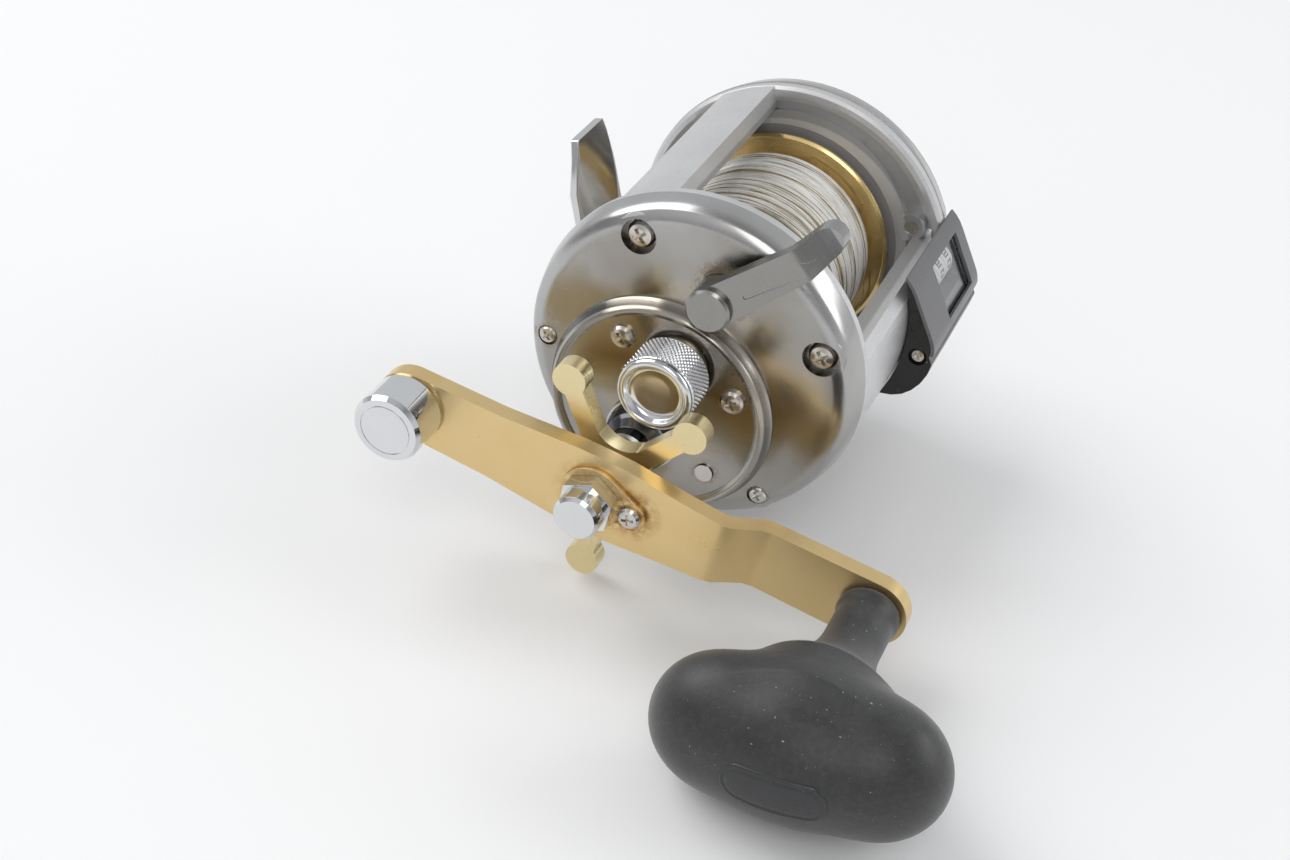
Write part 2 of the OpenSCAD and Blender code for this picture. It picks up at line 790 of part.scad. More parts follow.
module nut_retainer() {
    color("goldenrod") at(drive_at) rotate([handle_angle, 0, 0]) difference() {
        xplate(blade_front_x, blade_front_x + 0.9) union() {
            circle(6.4, $fn = round_fn);
            slot_shape([0, 0], [retainer_reach, 0], 3);
            polygon([polar([0, 0], 6.4, 70), polar([0, 0], 6.4, -70),
                     polar([retainer_reach, 0], 3, -70), polar([retainer_reach, 0], 3, 70)]);
        }
        xcyl(40, 70, 3.02, small_fn);
        translate([0, retainer_reach, 0]) xcyl(40, 70, 1.02, small_fn);
    }
}

module retainer_screw() {
    color("lightgray") at(drive_at) rotate([handle_angle, 0, 0])
        translate([0, retainer_reach, 0]) cross_screw(60.25, 2.2, 1.3, 1, 3);
}

module handle_nut() {
    color("whitesmoke") at(drive_at) difference() {
        union() {
            rotate([handle_angle, 0, 0]) xcyl(60.25, 63.6, 5.6, 6);
            xturned([[0, 63], [4.5, 63], [4.5, 67], [3.9, 67.6], [0, 67.6]]);
        }
        xcyl(50, 65.3, 2.42, small_fn);
        xcyl(50, 60.5, 3.02, small_fn);
    }
}

module counterweight() {
    color("whitesmoke") at(drive_at) rotate([handle_angle, 0, 0]) translate([0, -balance_arm, 0])
        xturned([[0, 56.6], [1.8, 56.6], [1.8, blade_front_x], [6.3, blade_front_x], [6.7, 60],
                 [6.9, 60], [6.9, 67.6], [6.3, 68.5], [5.1, 68.6], [5.1, 68.4], [4.9, 68.4],
                 [4.9, 68.6], [0, 68.6]]);
}

module grip_spindle() {
    color("lightgray") at(drive_at) rotate([handle_angle, 0, 0]) translate([0, throw, 0])
        xturned([[0, 51.5], [2.4, 51.5], [2.4, 55.1], [3, 55.1], [3, 100], [4, 100], [4, 101.4],
                 [0, 101.4]]);
}

grip_turn = 14;
badge_r = 3.9;
badge_reach = 5.4;

// Long rounded body of the grip across the spindle, drawn in by an inset.
module grip_body(inset) {
    rotate([grip_turn, 0, 0]) hull() {
        translate([93.6, 0, 0]) sphere(r = 14 - inset, $fn = 32);
        for (side = [-1, 1])
            translate([92.4, side * 14.2, 0]) sphere(r = 11.4 - inset, $fn = 32);
    }
}

module badge_prism(grow) {
    rotate([grip_turn, 0, 0]) xplate(98, 112)
        slot_shape([-badge_reach, 0], [badge_reach, 0], badge_r + grow);
}

// Grip: a round neck that runs into the long body, with a shallow seat for the badge.
module grip() {
    color("black") at(drive_at) rotate([handle_angle, 0, 0]) translate([0, throw, 0]) difference() {
        union() {
            xturned([[0, grip_base_x], [6, grip_base_x], [6.1, 56.5], [5.5, 62], [5.6, 69], [7, 75],
                     [10, 80.5], [10.4, 90], [0, 90]]);
            grip_body(0);
        }
        xcyl(50, 99.7, 3.06, small_fn);
        xcyl(99.4, 101.9, 4.1, small_fn);
        difference() {
            badge_prism(0.05);
            grip_body(0.9);
        }
    }
}

module grip_badge() {
    color("black") at(drive_at) rotate([handle_angle, 0, 0]) translate([0, throw, 0]) difference() {
        intersection() {
            badge_prism(0);
            grip_body(0);
        }
        grip_body(0.86);
    }
}

// ---------- cast control ----------

module cast_control_cap() {
    color("silver") at(spool_at) difference() {
        xturned([[0, 37], [7.2, 37], [7.6, 37.4], [7.6, 44.6], [7.1, 45.4], [7.06, 46.1], [6.2, 46.3],
                 [5.8, 46.1], [5.4, 44.9], [0, 44.9]]);
        xcyl(30, 44.35, 6.46);
    }
}

module cast_control_disc() {
    color("darkgoldenrod") at(spool_at) xcyl(42.32, 44.3, 1.9, small_fn);
}

// ---------- screws ----------

module large_plate_screws() {
    color("silver") for (place = large_screw_places, side = [0, 1])
        at(place) mirror([side, 0, 0]) cross_screw(30.65, large_head_r, 2.2, 1.5, 7);
}

// Small plate screws on both sides, and the counter's screw
module small_screws() {
    color("silver") {
        for (place = concat(small_screw_places, [stabiliser_at]), side = [0, 1])
            at(place) mirror([side, 0, 0])
                cross_screw(plate_face_x - 0.85, small_head_r, 1.2, 1.2, place == stabiliser_at ? 5 : 9);
        at(counter_screw_at) cross_screw(-1.15, 1.55, 0.9, 0.8, 4);
    }
}

module housing_screws() {
    color("silver") {
        for (place = housing_screw_places) at(place) cross_screw(boss_floor_x + 0.02, 2.35, 1.4, 1.2, 4);
        // Stud end sunk in the housing
        at(stud_at) xcyl(34.65, 35.9, 1.8, small_fn);
    }
}

// ---------- levelwind ----------

module levelwind_worm() {
    turns = 5;
    color("lightgray") at(worm_at) difference() {
        xturned([[0, -30.2], [1.2, -30.2], [1.2, -25.6], [worm_r, -25.6], [worm_r, 25.6],
                 [1.2, 25.6], [1.2, 27.4], [0, 27.4]]);
        // Crossed grooves, cut as rings tilted both ways
        for (i = [-turns : turns], lean = [-1, 1])
            translate([3.8 * i, 0, 0]) rotate([0, 0, 28 * lean])
                xtube(-0.35, 0.35, worm_r + 2, worm_r - 0.5);
    }
}

module worm_guard() {
    color("silver") at(worm_at) difference() {
        xtube(-27, 27, guard_r, worm_r + 0.3);
        // Slot that the guide pawl reaches through
        translate([-21.5, 0, -0.9]) cube([43, 5, 1.8]);
    }
}

module stabiliser_bar() {
    color("silver") at(stabiliser_at) difference() {
        xcyl(-26.9, 26.9, 1.6, small_fn);
        for (side = [0, 1]) mirror([side, 0, 0]) xcyl(20.2, 30, 1.21, small_fn);
    }
}

module line_guide() {
    half_l = 4.2;
    slot_w = 4.4;
    slot_h = 7.2;
    color("gainsboro") difference() {
        at([0, 0]) union() {
            // Block that rides on the guard tube
            translate([0, worm_at[0], worm_at[1]]) xcyl(-half_l, half_l, guard_r + 1.1);
            // Sleeve on the stabiliser bar
            translate([0, stabiliser_at[0], stabiliser_at[1]]) xcyl(-half_l, half_l, 2.9, small_fn);
            // Upright that holds the line slot
            xplate(-half_l, half_l) slot_shape(worm_at, stabiliser_at, 1.6);
            // Pawl housing in front of the worm
            translate([0, worm_at[0] + 2.4, worm_at[1]]) rotate([-90, 0, 0])
                cylinder(h = 3.6, r = 2.6, $fn = small_fn);
        }
        at(worm_at) xcyl(-10, 10, guard_r + 0.08);
        at(stabiliser_at) xcyl(-10, 10, 1.68, small_fn);
        at(worm_at) rotate([-90, 0, 0]) cylinder(h = 20, r = pawl_r + 0.02, $fn = small_fn);
        // Slot for the line
        at([26.6, 3.1]) translate([-slot_w / 2, -10, -slot_h / 2]) cube([slot_w, 20, slot_h]);
    }
}

pawl_r = 0.8;

// Pawl that follows the worm's groove, with its screw cap
module guide_pawl() {
    color("darkgoldenrod") at(worm_at) {
        translate([0, 2.7, 0]) rotate([-90, 0, 0]) cylinder(h = 3.7, r = pawl_r, $fn = small_fn);
        translate([0, 6.02, 0]) rotate([-90, 0, 0]) cylinder(h = 0.7, r = 1.8, $fn = small_fn);
    }
}

module worm_gear() {
    color("darkgoldenrod") at(worm_at)
        gear(worm_gear_teeth, train_module, worm_gear_phase, -29.6, -28, 1.2);
}

module levelwind_idler() {
    color("ivory") at(idler_at)
        gear(idler_teeth, train_module, idler_phase, -29.6, -28.1, 1.26);
}

// Phases of the train, each gear in mesh with the one before it.
idler_phase = mesh_phase(spool_gear_teeth, worm_angle, idler_teeth, worm_angle);
worm_gear_phase = mesh_phase(idler_teeth, idler_phase, worm_gear_teeth, worm_angle);
counter_idler_phase = mesh_phase(idler_teeth, idler_phase, counter_idler_teeth, counter_angle);
counter_gear_phase = mesh_phase(
    counter_idler_teeth, counter_idler_phase, counter_gear_teeth, counter_angle);

// ---------- line counter ----------

module counter_idler() {
    color("ivory") at(counter_idler_at)
        gear(counter_idler_teeth, train_module, counter_idler_phase, -29.6, -28.1, 1.26);
}

module counter_gear() {
    color("ivory") at(counter_at)
        gear(counter_gear_teeth, train_module, counter_gear_phase, -29.6, -28.1, axle_r + 0.06);
}

counter_left_x = -32;
bezel_t = 0.75;
bezel_slope = 12.8;
axle_r = 0.8;
window_x = -27.8;
window_l = 16.3;
wheel_w = 4.5;
wheel_gap = 0.3;
wheel_r = 3.77;
wheel_x = [for (i = [0 : 2]) -25.6 + i * (wheel_w + wheel_gap)];

// Rear edge, sloping top and rounded front of the counter's top, in [Y, Z].
top_line = [[-3.7, 33.5], [-2.6, 34.2], [-1.3, 34.8], [0.4, 35.3], [9.4, 37.35], [10.8, 37.55],
            [12.2, 37.5], [13.3, 37.1]];
cover_line = [[15.2, 36.6], [17.4, 35.5], [19.4, 33.9], [21, 31.9], [22, 29.8], [22.3, 27.6],
              [22, 25.2], [18, 27]];

module counter_bezel_shape() {
    difference() {
        polygon(concat(top_line, [for (i = [len(top_line) - 1 : -1 : 0]) top_line[i] - [0, bezel_t]]));
        circle(ring_r + 0.15, $fn = round_fn);
    }
}

module counter_housing() {
    color("black") difference() {
        at([0, 0]) xplate(counter_left_x, 0) difference() {
            polygon(concat([for (p = top_line) p - [0, bezel_t + 0.02]], cover_line, [[0, 30]]));
            circle(ring_r + 0.15, $fn = round_fn);
        }
        // Room for the digit wheels and the counter gear
        at(counter_at) xcyl(wheel_x[0] - 0.3, wheel_x[2] + wheel_w + 0.3, wheel_r + 0.35);
        at(counter_at) translate([wheel_x[0] - 0.3, -wheel_r - 0.35, 0])
            cube([3 * wheel_w + 1.2, 2 * wheel_r + 0.7, 10]);
        at(counter_at) xcyl(-30, -27.7, 4.7);
        at(counter_at) xcyl(-31, -9, axle_r + 0.02, small_fn);
        // Seats of the window, the screw and the reset button
        at([0, 0]) translate([window_x - 0.1, 0, 0]) bezel_frame() translate([0, -5.9, -bezel_t - 0.85])
            cube([window_l + 0.2, 11.8, 3]);
        at(counter_screw_at) {
            xcyl(-1.2, 1, 1.9, small_fn);
            xcyl(-6, 1, 0.82, small_fn);
        }
        at(reset_at) {
            xcyl(-33, -29.2, 1.05, small_fn);
            xcyl(-33, -30.6, 2.05, small_fn);
        }
    }
}

// Places children on the sloping top, with the origin over the digit wheels.
module bezel_frame() {
    translate([0, 5, 36.34]) rotate([bezel_slope, 0, 0]) children();
}

module counter_bezel() {
    color("slategray") difference() {
        at([0, 0]) xplate(counter_left_x, 0) counter_bezel_shape();
        at([0, 0]) bezel_frame() translate([window_x - 0.05, -5.8, -3]) cube([window_l + 0.1, 11.6, 6]);
    }
}

module counter_window() {
    color("lightcyan") at([0, 0]) bezel_frame()
        translate([window_x, -5.75, -bezel_t - 0.8]) cube([window_l, 11.5, 0.5]);
}

counter_screw_at = [13.4, 33.9];
reset_at = [13.6, 34.2];
reset_travel = 1.5;

module counter_axle() {
    color("lightgray") at(counter_at) xcyl(-29.8, -9.1, axle_r, small_fn);
}

module digit_wheel(index) {
    from = wheel_x[index];
    color("white") at(counter_at) difference() {
        xcyl(from, from + wheel_w, wheel_r);
        xcyl(-40, 0, axle_r + 0.06, small_fn);
        xtube(from - 1, from + 0.5, wheel_r - 0.8, 1.8);
    }
}

module digit_wheel_units() {
    digit_wheel(0);
}

module digit_wheel_tens() {
    digit_wheel(1);
}

module digit_wheel_hundreds() {
    digit_wheel(2);
}

module counter_reset_button() {
    color("dimgray") at(reset_at) {
        xcyl(-34.4, -32.3, 1.95, small_fn);
        xcyl(-32.4, -30.9, 0.95, small_fn);
    }
}

// ---------- clicker ----------

clicker_at = [-12, -12];
clicker_travel = 6;

module clicker_button() {
    color("black") at([0, 0]) {
        translate([0, clicker_at[0], clicker_at[1]]) {
            xturned([[0, -39.2], [2.6, -39.2], [3.1, -38.6], [3.1, -36.5], [0, -36.5]]);
            xcyl(-36.6, -33, 1.42, small_fn);
        }
    }
}

frame();
right_side_plate();
left_side_plate();
right_inner_plate();
left_inner_plate();
reel_foot();
foot_rivets();
spool();
wound_line();
spool_shaft();
spool_bearings();
left_bearing_cap();
click_ratchet();
spool_gear();
pinion();
yoke();
yoke_springs();
drive_shaft();
plain_bushes();
drive_gear();
drag_washers();
ratchet_wheel();
anti_reverse_pawl();
roller_clutch();
drag_sleeve();
spring_washers();
star_drag();
handle_spacer();
handle_blade();
handle_nut();
nut_retainer();
retainer_screw();
counterweight();
grip_spindle();
grip();
grip_badge();
cast_control_cap();
cast_control_disc();
clutch_lever();
large_plate_screws();
small_screws();
housing_screws();
levelwind_worm();
worm_guard();
line_guide();
guide_pawl();
stabiliser_bar();
worm_gear();
levelwind_idler();
counter_idler();
counter_gear();
counter_housing();
counter_bezel();
counter_window();
digit_wheel_units();
digit_wheel_tens();
digit_wheel_hundreds();
counter_axle();
counter_reset_button();
clicker_button();
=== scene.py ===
import bpy
import bmesh
import json
import math
import random
from mathutils import Matrix, Vector


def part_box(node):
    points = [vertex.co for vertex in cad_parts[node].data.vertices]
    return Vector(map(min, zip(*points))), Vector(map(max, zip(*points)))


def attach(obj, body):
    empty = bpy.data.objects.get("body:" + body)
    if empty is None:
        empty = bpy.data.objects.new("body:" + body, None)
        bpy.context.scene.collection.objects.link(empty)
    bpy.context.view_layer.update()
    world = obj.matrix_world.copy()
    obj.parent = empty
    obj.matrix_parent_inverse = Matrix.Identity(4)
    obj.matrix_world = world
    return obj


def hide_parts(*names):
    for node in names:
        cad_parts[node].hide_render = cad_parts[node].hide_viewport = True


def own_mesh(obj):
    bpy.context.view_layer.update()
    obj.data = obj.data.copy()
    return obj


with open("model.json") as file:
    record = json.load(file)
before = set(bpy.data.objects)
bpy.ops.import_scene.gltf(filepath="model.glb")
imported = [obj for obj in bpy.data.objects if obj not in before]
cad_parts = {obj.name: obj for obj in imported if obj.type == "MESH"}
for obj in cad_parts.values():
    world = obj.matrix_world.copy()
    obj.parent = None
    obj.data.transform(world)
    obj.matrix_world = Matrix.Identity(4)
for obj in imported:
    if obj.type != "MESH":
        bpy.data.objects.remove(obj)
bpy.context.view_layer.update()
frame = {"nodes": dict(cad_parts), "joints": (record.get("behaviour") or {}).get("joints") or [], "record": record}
nodes = frame["nodes"]
MM = 0.001
X_WAY = Vector((1, 0, 0))

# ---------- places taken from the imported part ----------


def joint(name):
    return next(j for j in frame["joints"] if j["name"] == name)


SPOOL = Vector(joint("spool_spin")["pos_m"])
DRIVE = Vector(joint("handle_turn")["pos_m"])
GRIP = Vector(joint("grip_spin")["pos_m"])
COUNTER = Vector(joint("units_wheel_turn")["pos_m"])
LEVER = Vector(joint("clutch_lever_swing")["pos_m"])
PLATE = Vector((0, 0, SPOOL.z + 1.0 * MM))  # centre of the side plates
BLADE_WAY = (GRIP - DRIVE).normalized()


def round_x(centre, x, radius, angle):
    """Point at x on a circle round an axis that runs along X through centre."""
    return Vector((x, centre.y + radius * math.cos(angle), centre.z + radius * math.sin(angle)))


# ---------- materials ----------


class Nodes:
    """Small helper round one material's node tree."""

    def __init__(self, name):
        self.mat = bpy.data.materials.new(name)
        self.mat.use_nodes = True
        self.tree = self.mat.node_tree
        self.tree.nodes.clear()
        self.shader = self.new("ShaderNodeBsdfPrincipled")
        self.link(self.shader.outputs[0], self.new("ShaderNodeOutputMaterial").inputs[0])
        self.coords = self.new("ShaderNodeTexCoord")

    def new(self, kind, **values):
        node = self.tree.nodes.new(kind)
        for key, value in values.items():
            setattr(node, key, value)
        return node

    def link(self, a, b):
        self.tree.links.new(a, b)

    def put(self, target, value):
        if hasattr(value, "links"):
            self.link(value, target)
        else:
            target.default_value = value

    def noise(self, scale, detail, rough, stretch=(1, 1, 1), shift=(0, 0, 0), distort=0):
        place = self.new("ShaderNodeMapping")
        self.link(self.coords.outputs["Object"], place.inputs[0])
        place.inputs["Scale"].default_value = stretch
        place.inputs["Location"].default_value = shift
        n = self.new("ShaderNodeTexNoise")
        self.link(place.outputs[0], n.inputs["Vector"])
        n.inputs["Scale"].default_value = scale
        n.inputs["Detail"].default_value = detail
        n.inputs["Roughness"].default_value = rough
        n.inputs["Distortion"].default_value = distort
        return n.outputs["Fac"]

    def ramp(self, value, stops):
        r = self.new("ShaderNodeValToRGB")
        self.put(r.inputs[0], value)
        while len(r.color_ramp.elements) < len(stops):
            r.color_ramp.elements.new(0.5)
        for e, (at, colour) in zip(r.color_ramp.elements, stops):
            e.position = at
            e.color = (*colour, 1)
        return r.outputs[0]

    def fit(self, value, low, high, to_low=0.0, to_high=1.0):
        m = self.new("ShaderNodeMapRange")
        self.put(m.inputs["Value"], value)
        m.inputs["From Min"].default_value = low
        m.inputs["From Max"].default_value = high
        m.inputs["To Min"].default_value = to_low
        m.inputs["To Max"].default_value = to_high
        m.clamp = True
        return m.outputs[0]

    def math(self, kind, a, b=0.0):
        m = self.new("ShaderNodeMath", operation=kind)
        self.put(m.inputs[0], a)
        self.put(m.inputs[1], b)
        return m.outputs[0]

    def add(self, a, b):
        return self.math("ADD", a, b)

    def times(self, a, b):
        return self.math("MULTIPLY", a, b)

    def mix(self, factor, a, b):
        m = self.new("ShaderNodeMix", data_type="RGBA")
        self.put(m.inputs[0], factor)
        self.put(m.inputs[6], a if hasattr(a, "links") else (*a, 1))
        self.put(m.inputs[7], b if hasattr(b, "links") else (*b, 1))
        return m.outputs[2]

    def place(self):
        """The X, Y and Z of the shaded point."""
        part = self.new("ShaderNodeSeparateXYZ")
        self.link(self.coords.outputs["Object"], part.inputs[0])
        return part.outputs

    def distance(self, point):
        """Distance from a point, across X."""
        _, y, z = self.place()
        y = self.math("SUBTRACT", y, point[1])
        z = self.math("SUBTRACT", z, point[2])
        return self.math("SQRT", self.add(self.times(y, y), self.times(z, z)))

    def spot(self, centre, reach, core, power, patches):
        """Broken patch round centre: full inside core * reach, gone beyond reach."""
        ring = self.fit(self.distance(centre), reach, reach * core)
        return self.times(self.times(ring, patches), power)

    def bump(self, height, strength, depth, normal=None):
        b = self.new("ShaderNodeBump")
        b.inputs["Strength"].default_value = strength
        b.inputs["Distance"].default_value = depth
        self.put(b.inputs["Height"], height)
        if normal is not None:
            self.link(normal, b.inputs["Normal"])
        return b.outputs[0]

    def set(self, **values):
        names = {"color": "Base Color", "metal": "Metallic", "rough": "Roughness", "normal": "Normal",
                 "glass": "Transmission Weight", "ior": "IOR", "sheen": "Sheen Weight"}
        for key, value in values.items():
            if key == "color" and not hasattr(value, "links"):
                value = (*value, 1)
            self.put(self.shader.inputs[names[key]], value)
        return self.mat


def scaled(colour, by, plus=0.0):
    return [min(1, c * by + plus) for c in colour]


def satin_cast(name, colour, rough=0.42, sparkle=0.35):
    """Blasted light metal with fine sparkle, dirty patches, and painted shade darkening the recessed groove inside
    each ring.
    """
    groove_face_x, groove_blur = 27.4 * MM, 0.05 * MM
    groove_shade_from, groove_shade_to = (26.2 * MM, 26.6 * MM), (30.2 * MM, 29.6 * MM)
    n = Nodes(name)
    fine = n.noise(5200, 3, 0.7)
    cloud = n.noise(90, 5, 0.6)
    dirt = n.fit(n.noise(260, 6, 0.7, distort=0.6), 0.60, 0.75)
    base = n.mix(n.fit(fine, 0.42, 0.66, 0, sparkle), colour, scaled(colour, 1.7))
    base = n.mix(n.fit(cloud, 0.35, 0.7, 0, 0.30), base, scaled(colour, 0.78))
    base = n.mix(n.times(dirt, 0.22), base, (0.20, 0.17, 0.13))
    # Painted shade: the recessed groove inside each ring is darkened towards dark grey
    far = n.distance(PLATE)
    from_middle = n.math("ABSOLUTE", n.place()[0])
    inside = n.fit(from_middle, groove_face_x + groove_blur, groove_face_x - groove_blur)
    band = n.times(n.fit(far, *groove_shade_from), n.fit(far, *groove_shade_to))
    base = n.mix(n.times(n.times(inside, band), 0.45), base, (0.16, 0.16, 0.162))
    shine = n.add(n.fit(fine, 0.3, 0.7, rough - 0.08, rough + 0.10), n.times(dirt, 0.15))
    return n.set(color=base, metal=0.82, rough=shine, normal=n.bump(fine, 0.16, 0.06 * MM))


def polished(name, colour, rough=0.12, stretch=(1, 1, 1), marks=0.5, grime_at=(), tint=None, painted_rings_centre=None):
    """Bright metal with faint turned or brushed lines, scratches, and grime round given places."""
    n = Nodes(name)
    lines = n.noise(900, 5, 0.6, stretch=stretch)
    smear = n.noise(70, 4, 0.6, distort=0.8)
    scratches = n.math("MAXIMUM",
                       n.fit(n.noise(240, 8, 0.75, stretch=(1, 9, 1), distort=0.4), 0.64, 0.70),
                       n.fit(n.noise(260, 8, 0.75, stretch=(7, 1, 2), distort=0.4), 0.65, 0.71))
    base = n.mix(n.fit(smear, 0.35, 0.7, 0, 0.22), colour, scaled(colour, 0.84))
    if tint:
        base = n.mix(n.fit(n.noise(38, 3, 0.5, shift=(3, 1, 2)), 0.40, 0.62, 0, 0.8), base, tint)
    base = n.mix(n.times(scratches, 0.18 * marks), base, (0.95, 0.95, 0.93))
    if painted_rings_centre is not None:
        # Rings round the plate's centre: a warmer tone round the boss's foot, a darker band outside it that is a
        # painted reflection, and a painted highlight at the rim
        boss_foot, dark_reflection_band, rim = (19.0 * MM, 17.6 * MM), 26.2 * MM, (29.3 * MM, 30.3 * MM)
        far = n.distance(painted_rings_centre)
        from_band = n.math("ABSOLUTE", n.math("SUBTRACT", far, dark_reflection_band))
        base = n.mix(n.fit(far, *boss_foot, 0, 0.5), base, (0.44, 0.39, 0.32))
        # Painted reflection: a darker band round the plate's centre
        base = n.mix(n.fit(from_band, 2.2 * MM, 0.8 * MM, 0, 0.30), base, (0.36, 0.355, 0.345))
        # Painted highlight: a brighter rim near the plate's edge
        base = n.mix(n.fit(far, *rim, 0, 0.35), base, (0.60, 0.61, 0.63))
    shine = n.add(n.fit(smear, 0.3, 0.75, rough * 0.75, rough * 1.7), n.times(scratches, 0.20 * marks))
    for place, reach, power in grime_at:
        patches = n.fit(n.noise(900, 6, 0.7, shift=(2, 2, 2)), 0.42, 0.60)
        spot = n.spot(place, reach, 0.55, power, patches)
        base = n.mix(spot, base, (0.30, 0.19, 0.08))
        shine = n.add(shine, n.times(spot, 0.45))
    turned = n.bump(lines, 0.05, 0.03 * MM)
    scored = n.bump(scratches, 0.05 * marks, 0.03 * MM, turned)
    return n.set(color=base, metal=1.0, rough=shine, normal=scored)


def plastic(name, colour, rough=0.4, grain=0.3, dust=0.25, handled=0.0):
    """Moulded plastic or rubber with grain and bright specks, and rubbed-in dust where it is handled."""
    n = Nodes(name)
    fine = n.noise(2600, 3, 0.6)
    cloud = n.noise(120, 4, 0.6)
    specks = n.fit(n.noise(1500, 2, 0.5, shift=(5, 5, 5)), 0.73, 0.76)
    base = n.mix(n.fit(cloud, 0.35, 0.7, 0, 0.35), colour, scaled(colour, 1.35, 0.006))
    if handled:
        mottle = n.noise(900, 6, 0.75, shift=(3, 3, 3))
        smear = n.noise(55, 6, 0.7, stretch=(1, 1, 0.5), distort=1.2)
        crumbs = n.fit(n.noise(2900, 3, 0.6, shift=(8, 1, 5)), 0.705, 0.73)
        base = n.mix(n.fit(mottle, 0.45, 0.72, 0, 0.5 * handled), base, scaled(colour, 2.4, 0.01))
        base = n.mix(n.fit(smear, 0.48, 0.70, 0, 0.5 * handled), base, scaled(colour, 2.2, 0.012))
        base = n.mix(n.times(crumbs, 0.4 * handled), base, (0.42, 0.40, 0.36))
    base = n.mix(n.times(specks, dust), base, (0.55, 0.53, 0.50))
    shine = n.add(n.fit(cloud, 0.3, 0.7, rough - 0.06, rough + 0.08), n.times(specks, 0.2))
    return n.set(color=base, rough=shine, sheen=0.15 * handled, normal=n.bump(fine, grain, 0.05 * MM))


def anodised(name, colour, edge, stain_at=()):
    """Champagne anodised aluminium: satin, with small specks, rubbed patches and rusty stains."""
    n = Nodes(name)
    fine = n.noise(3600, 4, 0.65)
    rubbed = n.noise(60, 5, 0.6, distort=0.5)
    specks = n.fit(n.noise(760, 3, 0.6, shift=(1, 7, 3)), 0.70, 0.76)
    base = n.mix(n.fit(rubbed, 0.38, 0.68, 0, 0.45), colour, edge)
    base = n.mix(n.times(specks, 0.5), base, (0.34, 0.22, 0.10))
    shine = n.fit(rubbed, 0.3, 0.7, 0.24, 0.36)
    for place, reach, power in stain_at:
        patches = n.fit(n.noise(520, 6, 0.7, shift=(4, 2, 1)), 0.38, 0.60)
        spot = n.spot(place, reach, 0.5, power, patches)
        base = n.mix(spot, base, (0.36, 0.17, 0.045))
        shine = n.add(shine, n.times(spot, 0.4))
    return n.set(color=base, metal=0.92, rough=shine, normal=n.bump(fine, 0.08, 0.04 * MM))


def on_plate(y, z):
    """Point of the side plate, y and z mm from its centre."""
    return PLATE + Vector((0, y, z)) * MM


# Grime on the plate as (centre, reach, strength): lever, large screws, stud, housing and small screws
plate_grime = [(LEVER, 6.8 * MM, 0.95), (on_plate(-26.8, -5.1), 4.0 * MM, 0.35),
               (on_plate(-3.4, 27.2), 4.0 * MM, 0.4), (on_plate(21.4, 1.4), 3.4 * MM, 0.6),
               (on_plate(-7.5, -10.6), 3.3 * MM, 0.6), (on_plate(5.2, 9.7), 3.3 * MM, 0.5),
               (on_plate(-5.4, -28.1), 3.0 * MM, 0.6), (on_plate(27.2, 10.6), 3.0 * MM, 0.6)]
# Rust on the blade, round the retainer's screw and the nut
blade_stains = [(DRIVE + BLADE_WAY * (7.9 * MM), 6.2 * MM, 0.8), (DRIVE, 8.8 * MM, 0.5)]

M = {
    "cast_frame": satin_cast("cast_frame", (0.60, 0.60, 0.605)),
    "polished_plate": polished("polished_plate", (0.42, 0.415, 0.405), 0.19, grime_at=plate_grime,
                               tint=(0.31, 0.29, 0.26), marks=0.95, painted_rings_centre=PLATE),
    "dark_plate": plastic("dark_plate", (0.22, 0.22, 0.222), 0.35),
    "stainless": polished("stainless", (0.62, 0.62, 0.63), 0.14, stretch=(6, 0.4, 1), marks=1.0),
    "screw_steel": polished("screw_steel", (0.66, 0.655, 0.64), 0.2, marks=1.0, tint=(0.52, 0.46, 0.38)),
    "gold_spool": polished("gold_spool", (0.82, 0.62, 0.29), 0.20, tint=(0.70, 0.52, 0.24)),
    "shaft_steel": polished("shaft_steel", (0.60, 0.60, 0.61), 0.2),
    "spring_steel": polished("spring_steel", (0.45, 0.45, 0.46), 0.28),
    "gear_brass": polished("gear_brass", (0.72, 0.52, 0.22), 0.25, tint=(0.5, 0.32, 0.12)),
    "drag_fibre": plastic("drag_fibre", (0.04, 0.04, 0.042), 0.7, 0.6),
    "gold_handle": anodised("gold_handle", (0.72, 0.53, 0.25), (0.80, 0.64, 0.36),
                            stain_at=blade_stains),
    "gold_star": anodised("gold_star", (0.78, 0.66, 0.38), (0.86, 0.77, 0.52)),
    "chrome_trim": polished("chrome_trim", (0.72, 0.73, 0.745), 0.07),
    "dark_sleeve": polished("dark_sleeve", (0.10, 0.10, 0.11), 0.14),
    "grip_rubber": plastic("grip_rubber", (0.018, 0.0182, 0.019), 0.42, 0.5, 0.6, handled=1.0),
    "badge_rubber": plastic("badge_rubber", (0.026, 0.0265, 0.028), 0.30, 0.2, 0.3),
    "knurled_cap": polished("knurled_cap", (0.70, 0.71, 0.73), 0.13, marks=0.7),
    "lever_metal": polished("lever_metal", (0.36, 0.36, 0.355), 0.22, stretch=(1, 1, 6), marks=1.0,
                            tint=(0.28, 0.275, 0.26)),
    "gear_plastic": plastic("gear_plastic", (0.70, 0.67, 0.58), 0.45),
    "guide_metal": polished("guide_metal", (0.66, 0.66, 0.66), 0.2),
    "counter_black": plastic("counter_black", (0.012, 0.012, 0.013), 0.16, 0.05, 0.7),
    "counter_grey": plastic("counter_grey", (0.125, 0.125, 0.13), 0.36, 0.35, 0.3),
    "digit_white": plastic("digit_white", (0.90, 0.90, 0.89), 0.4, 0.1),
    "digit_ink": plastic("digit_ink", (0.015, 0.015, 0.015), 0.5),
    "button_black": plastic("button_black", (0.02, 0.02, 0.02), 0.35),
}


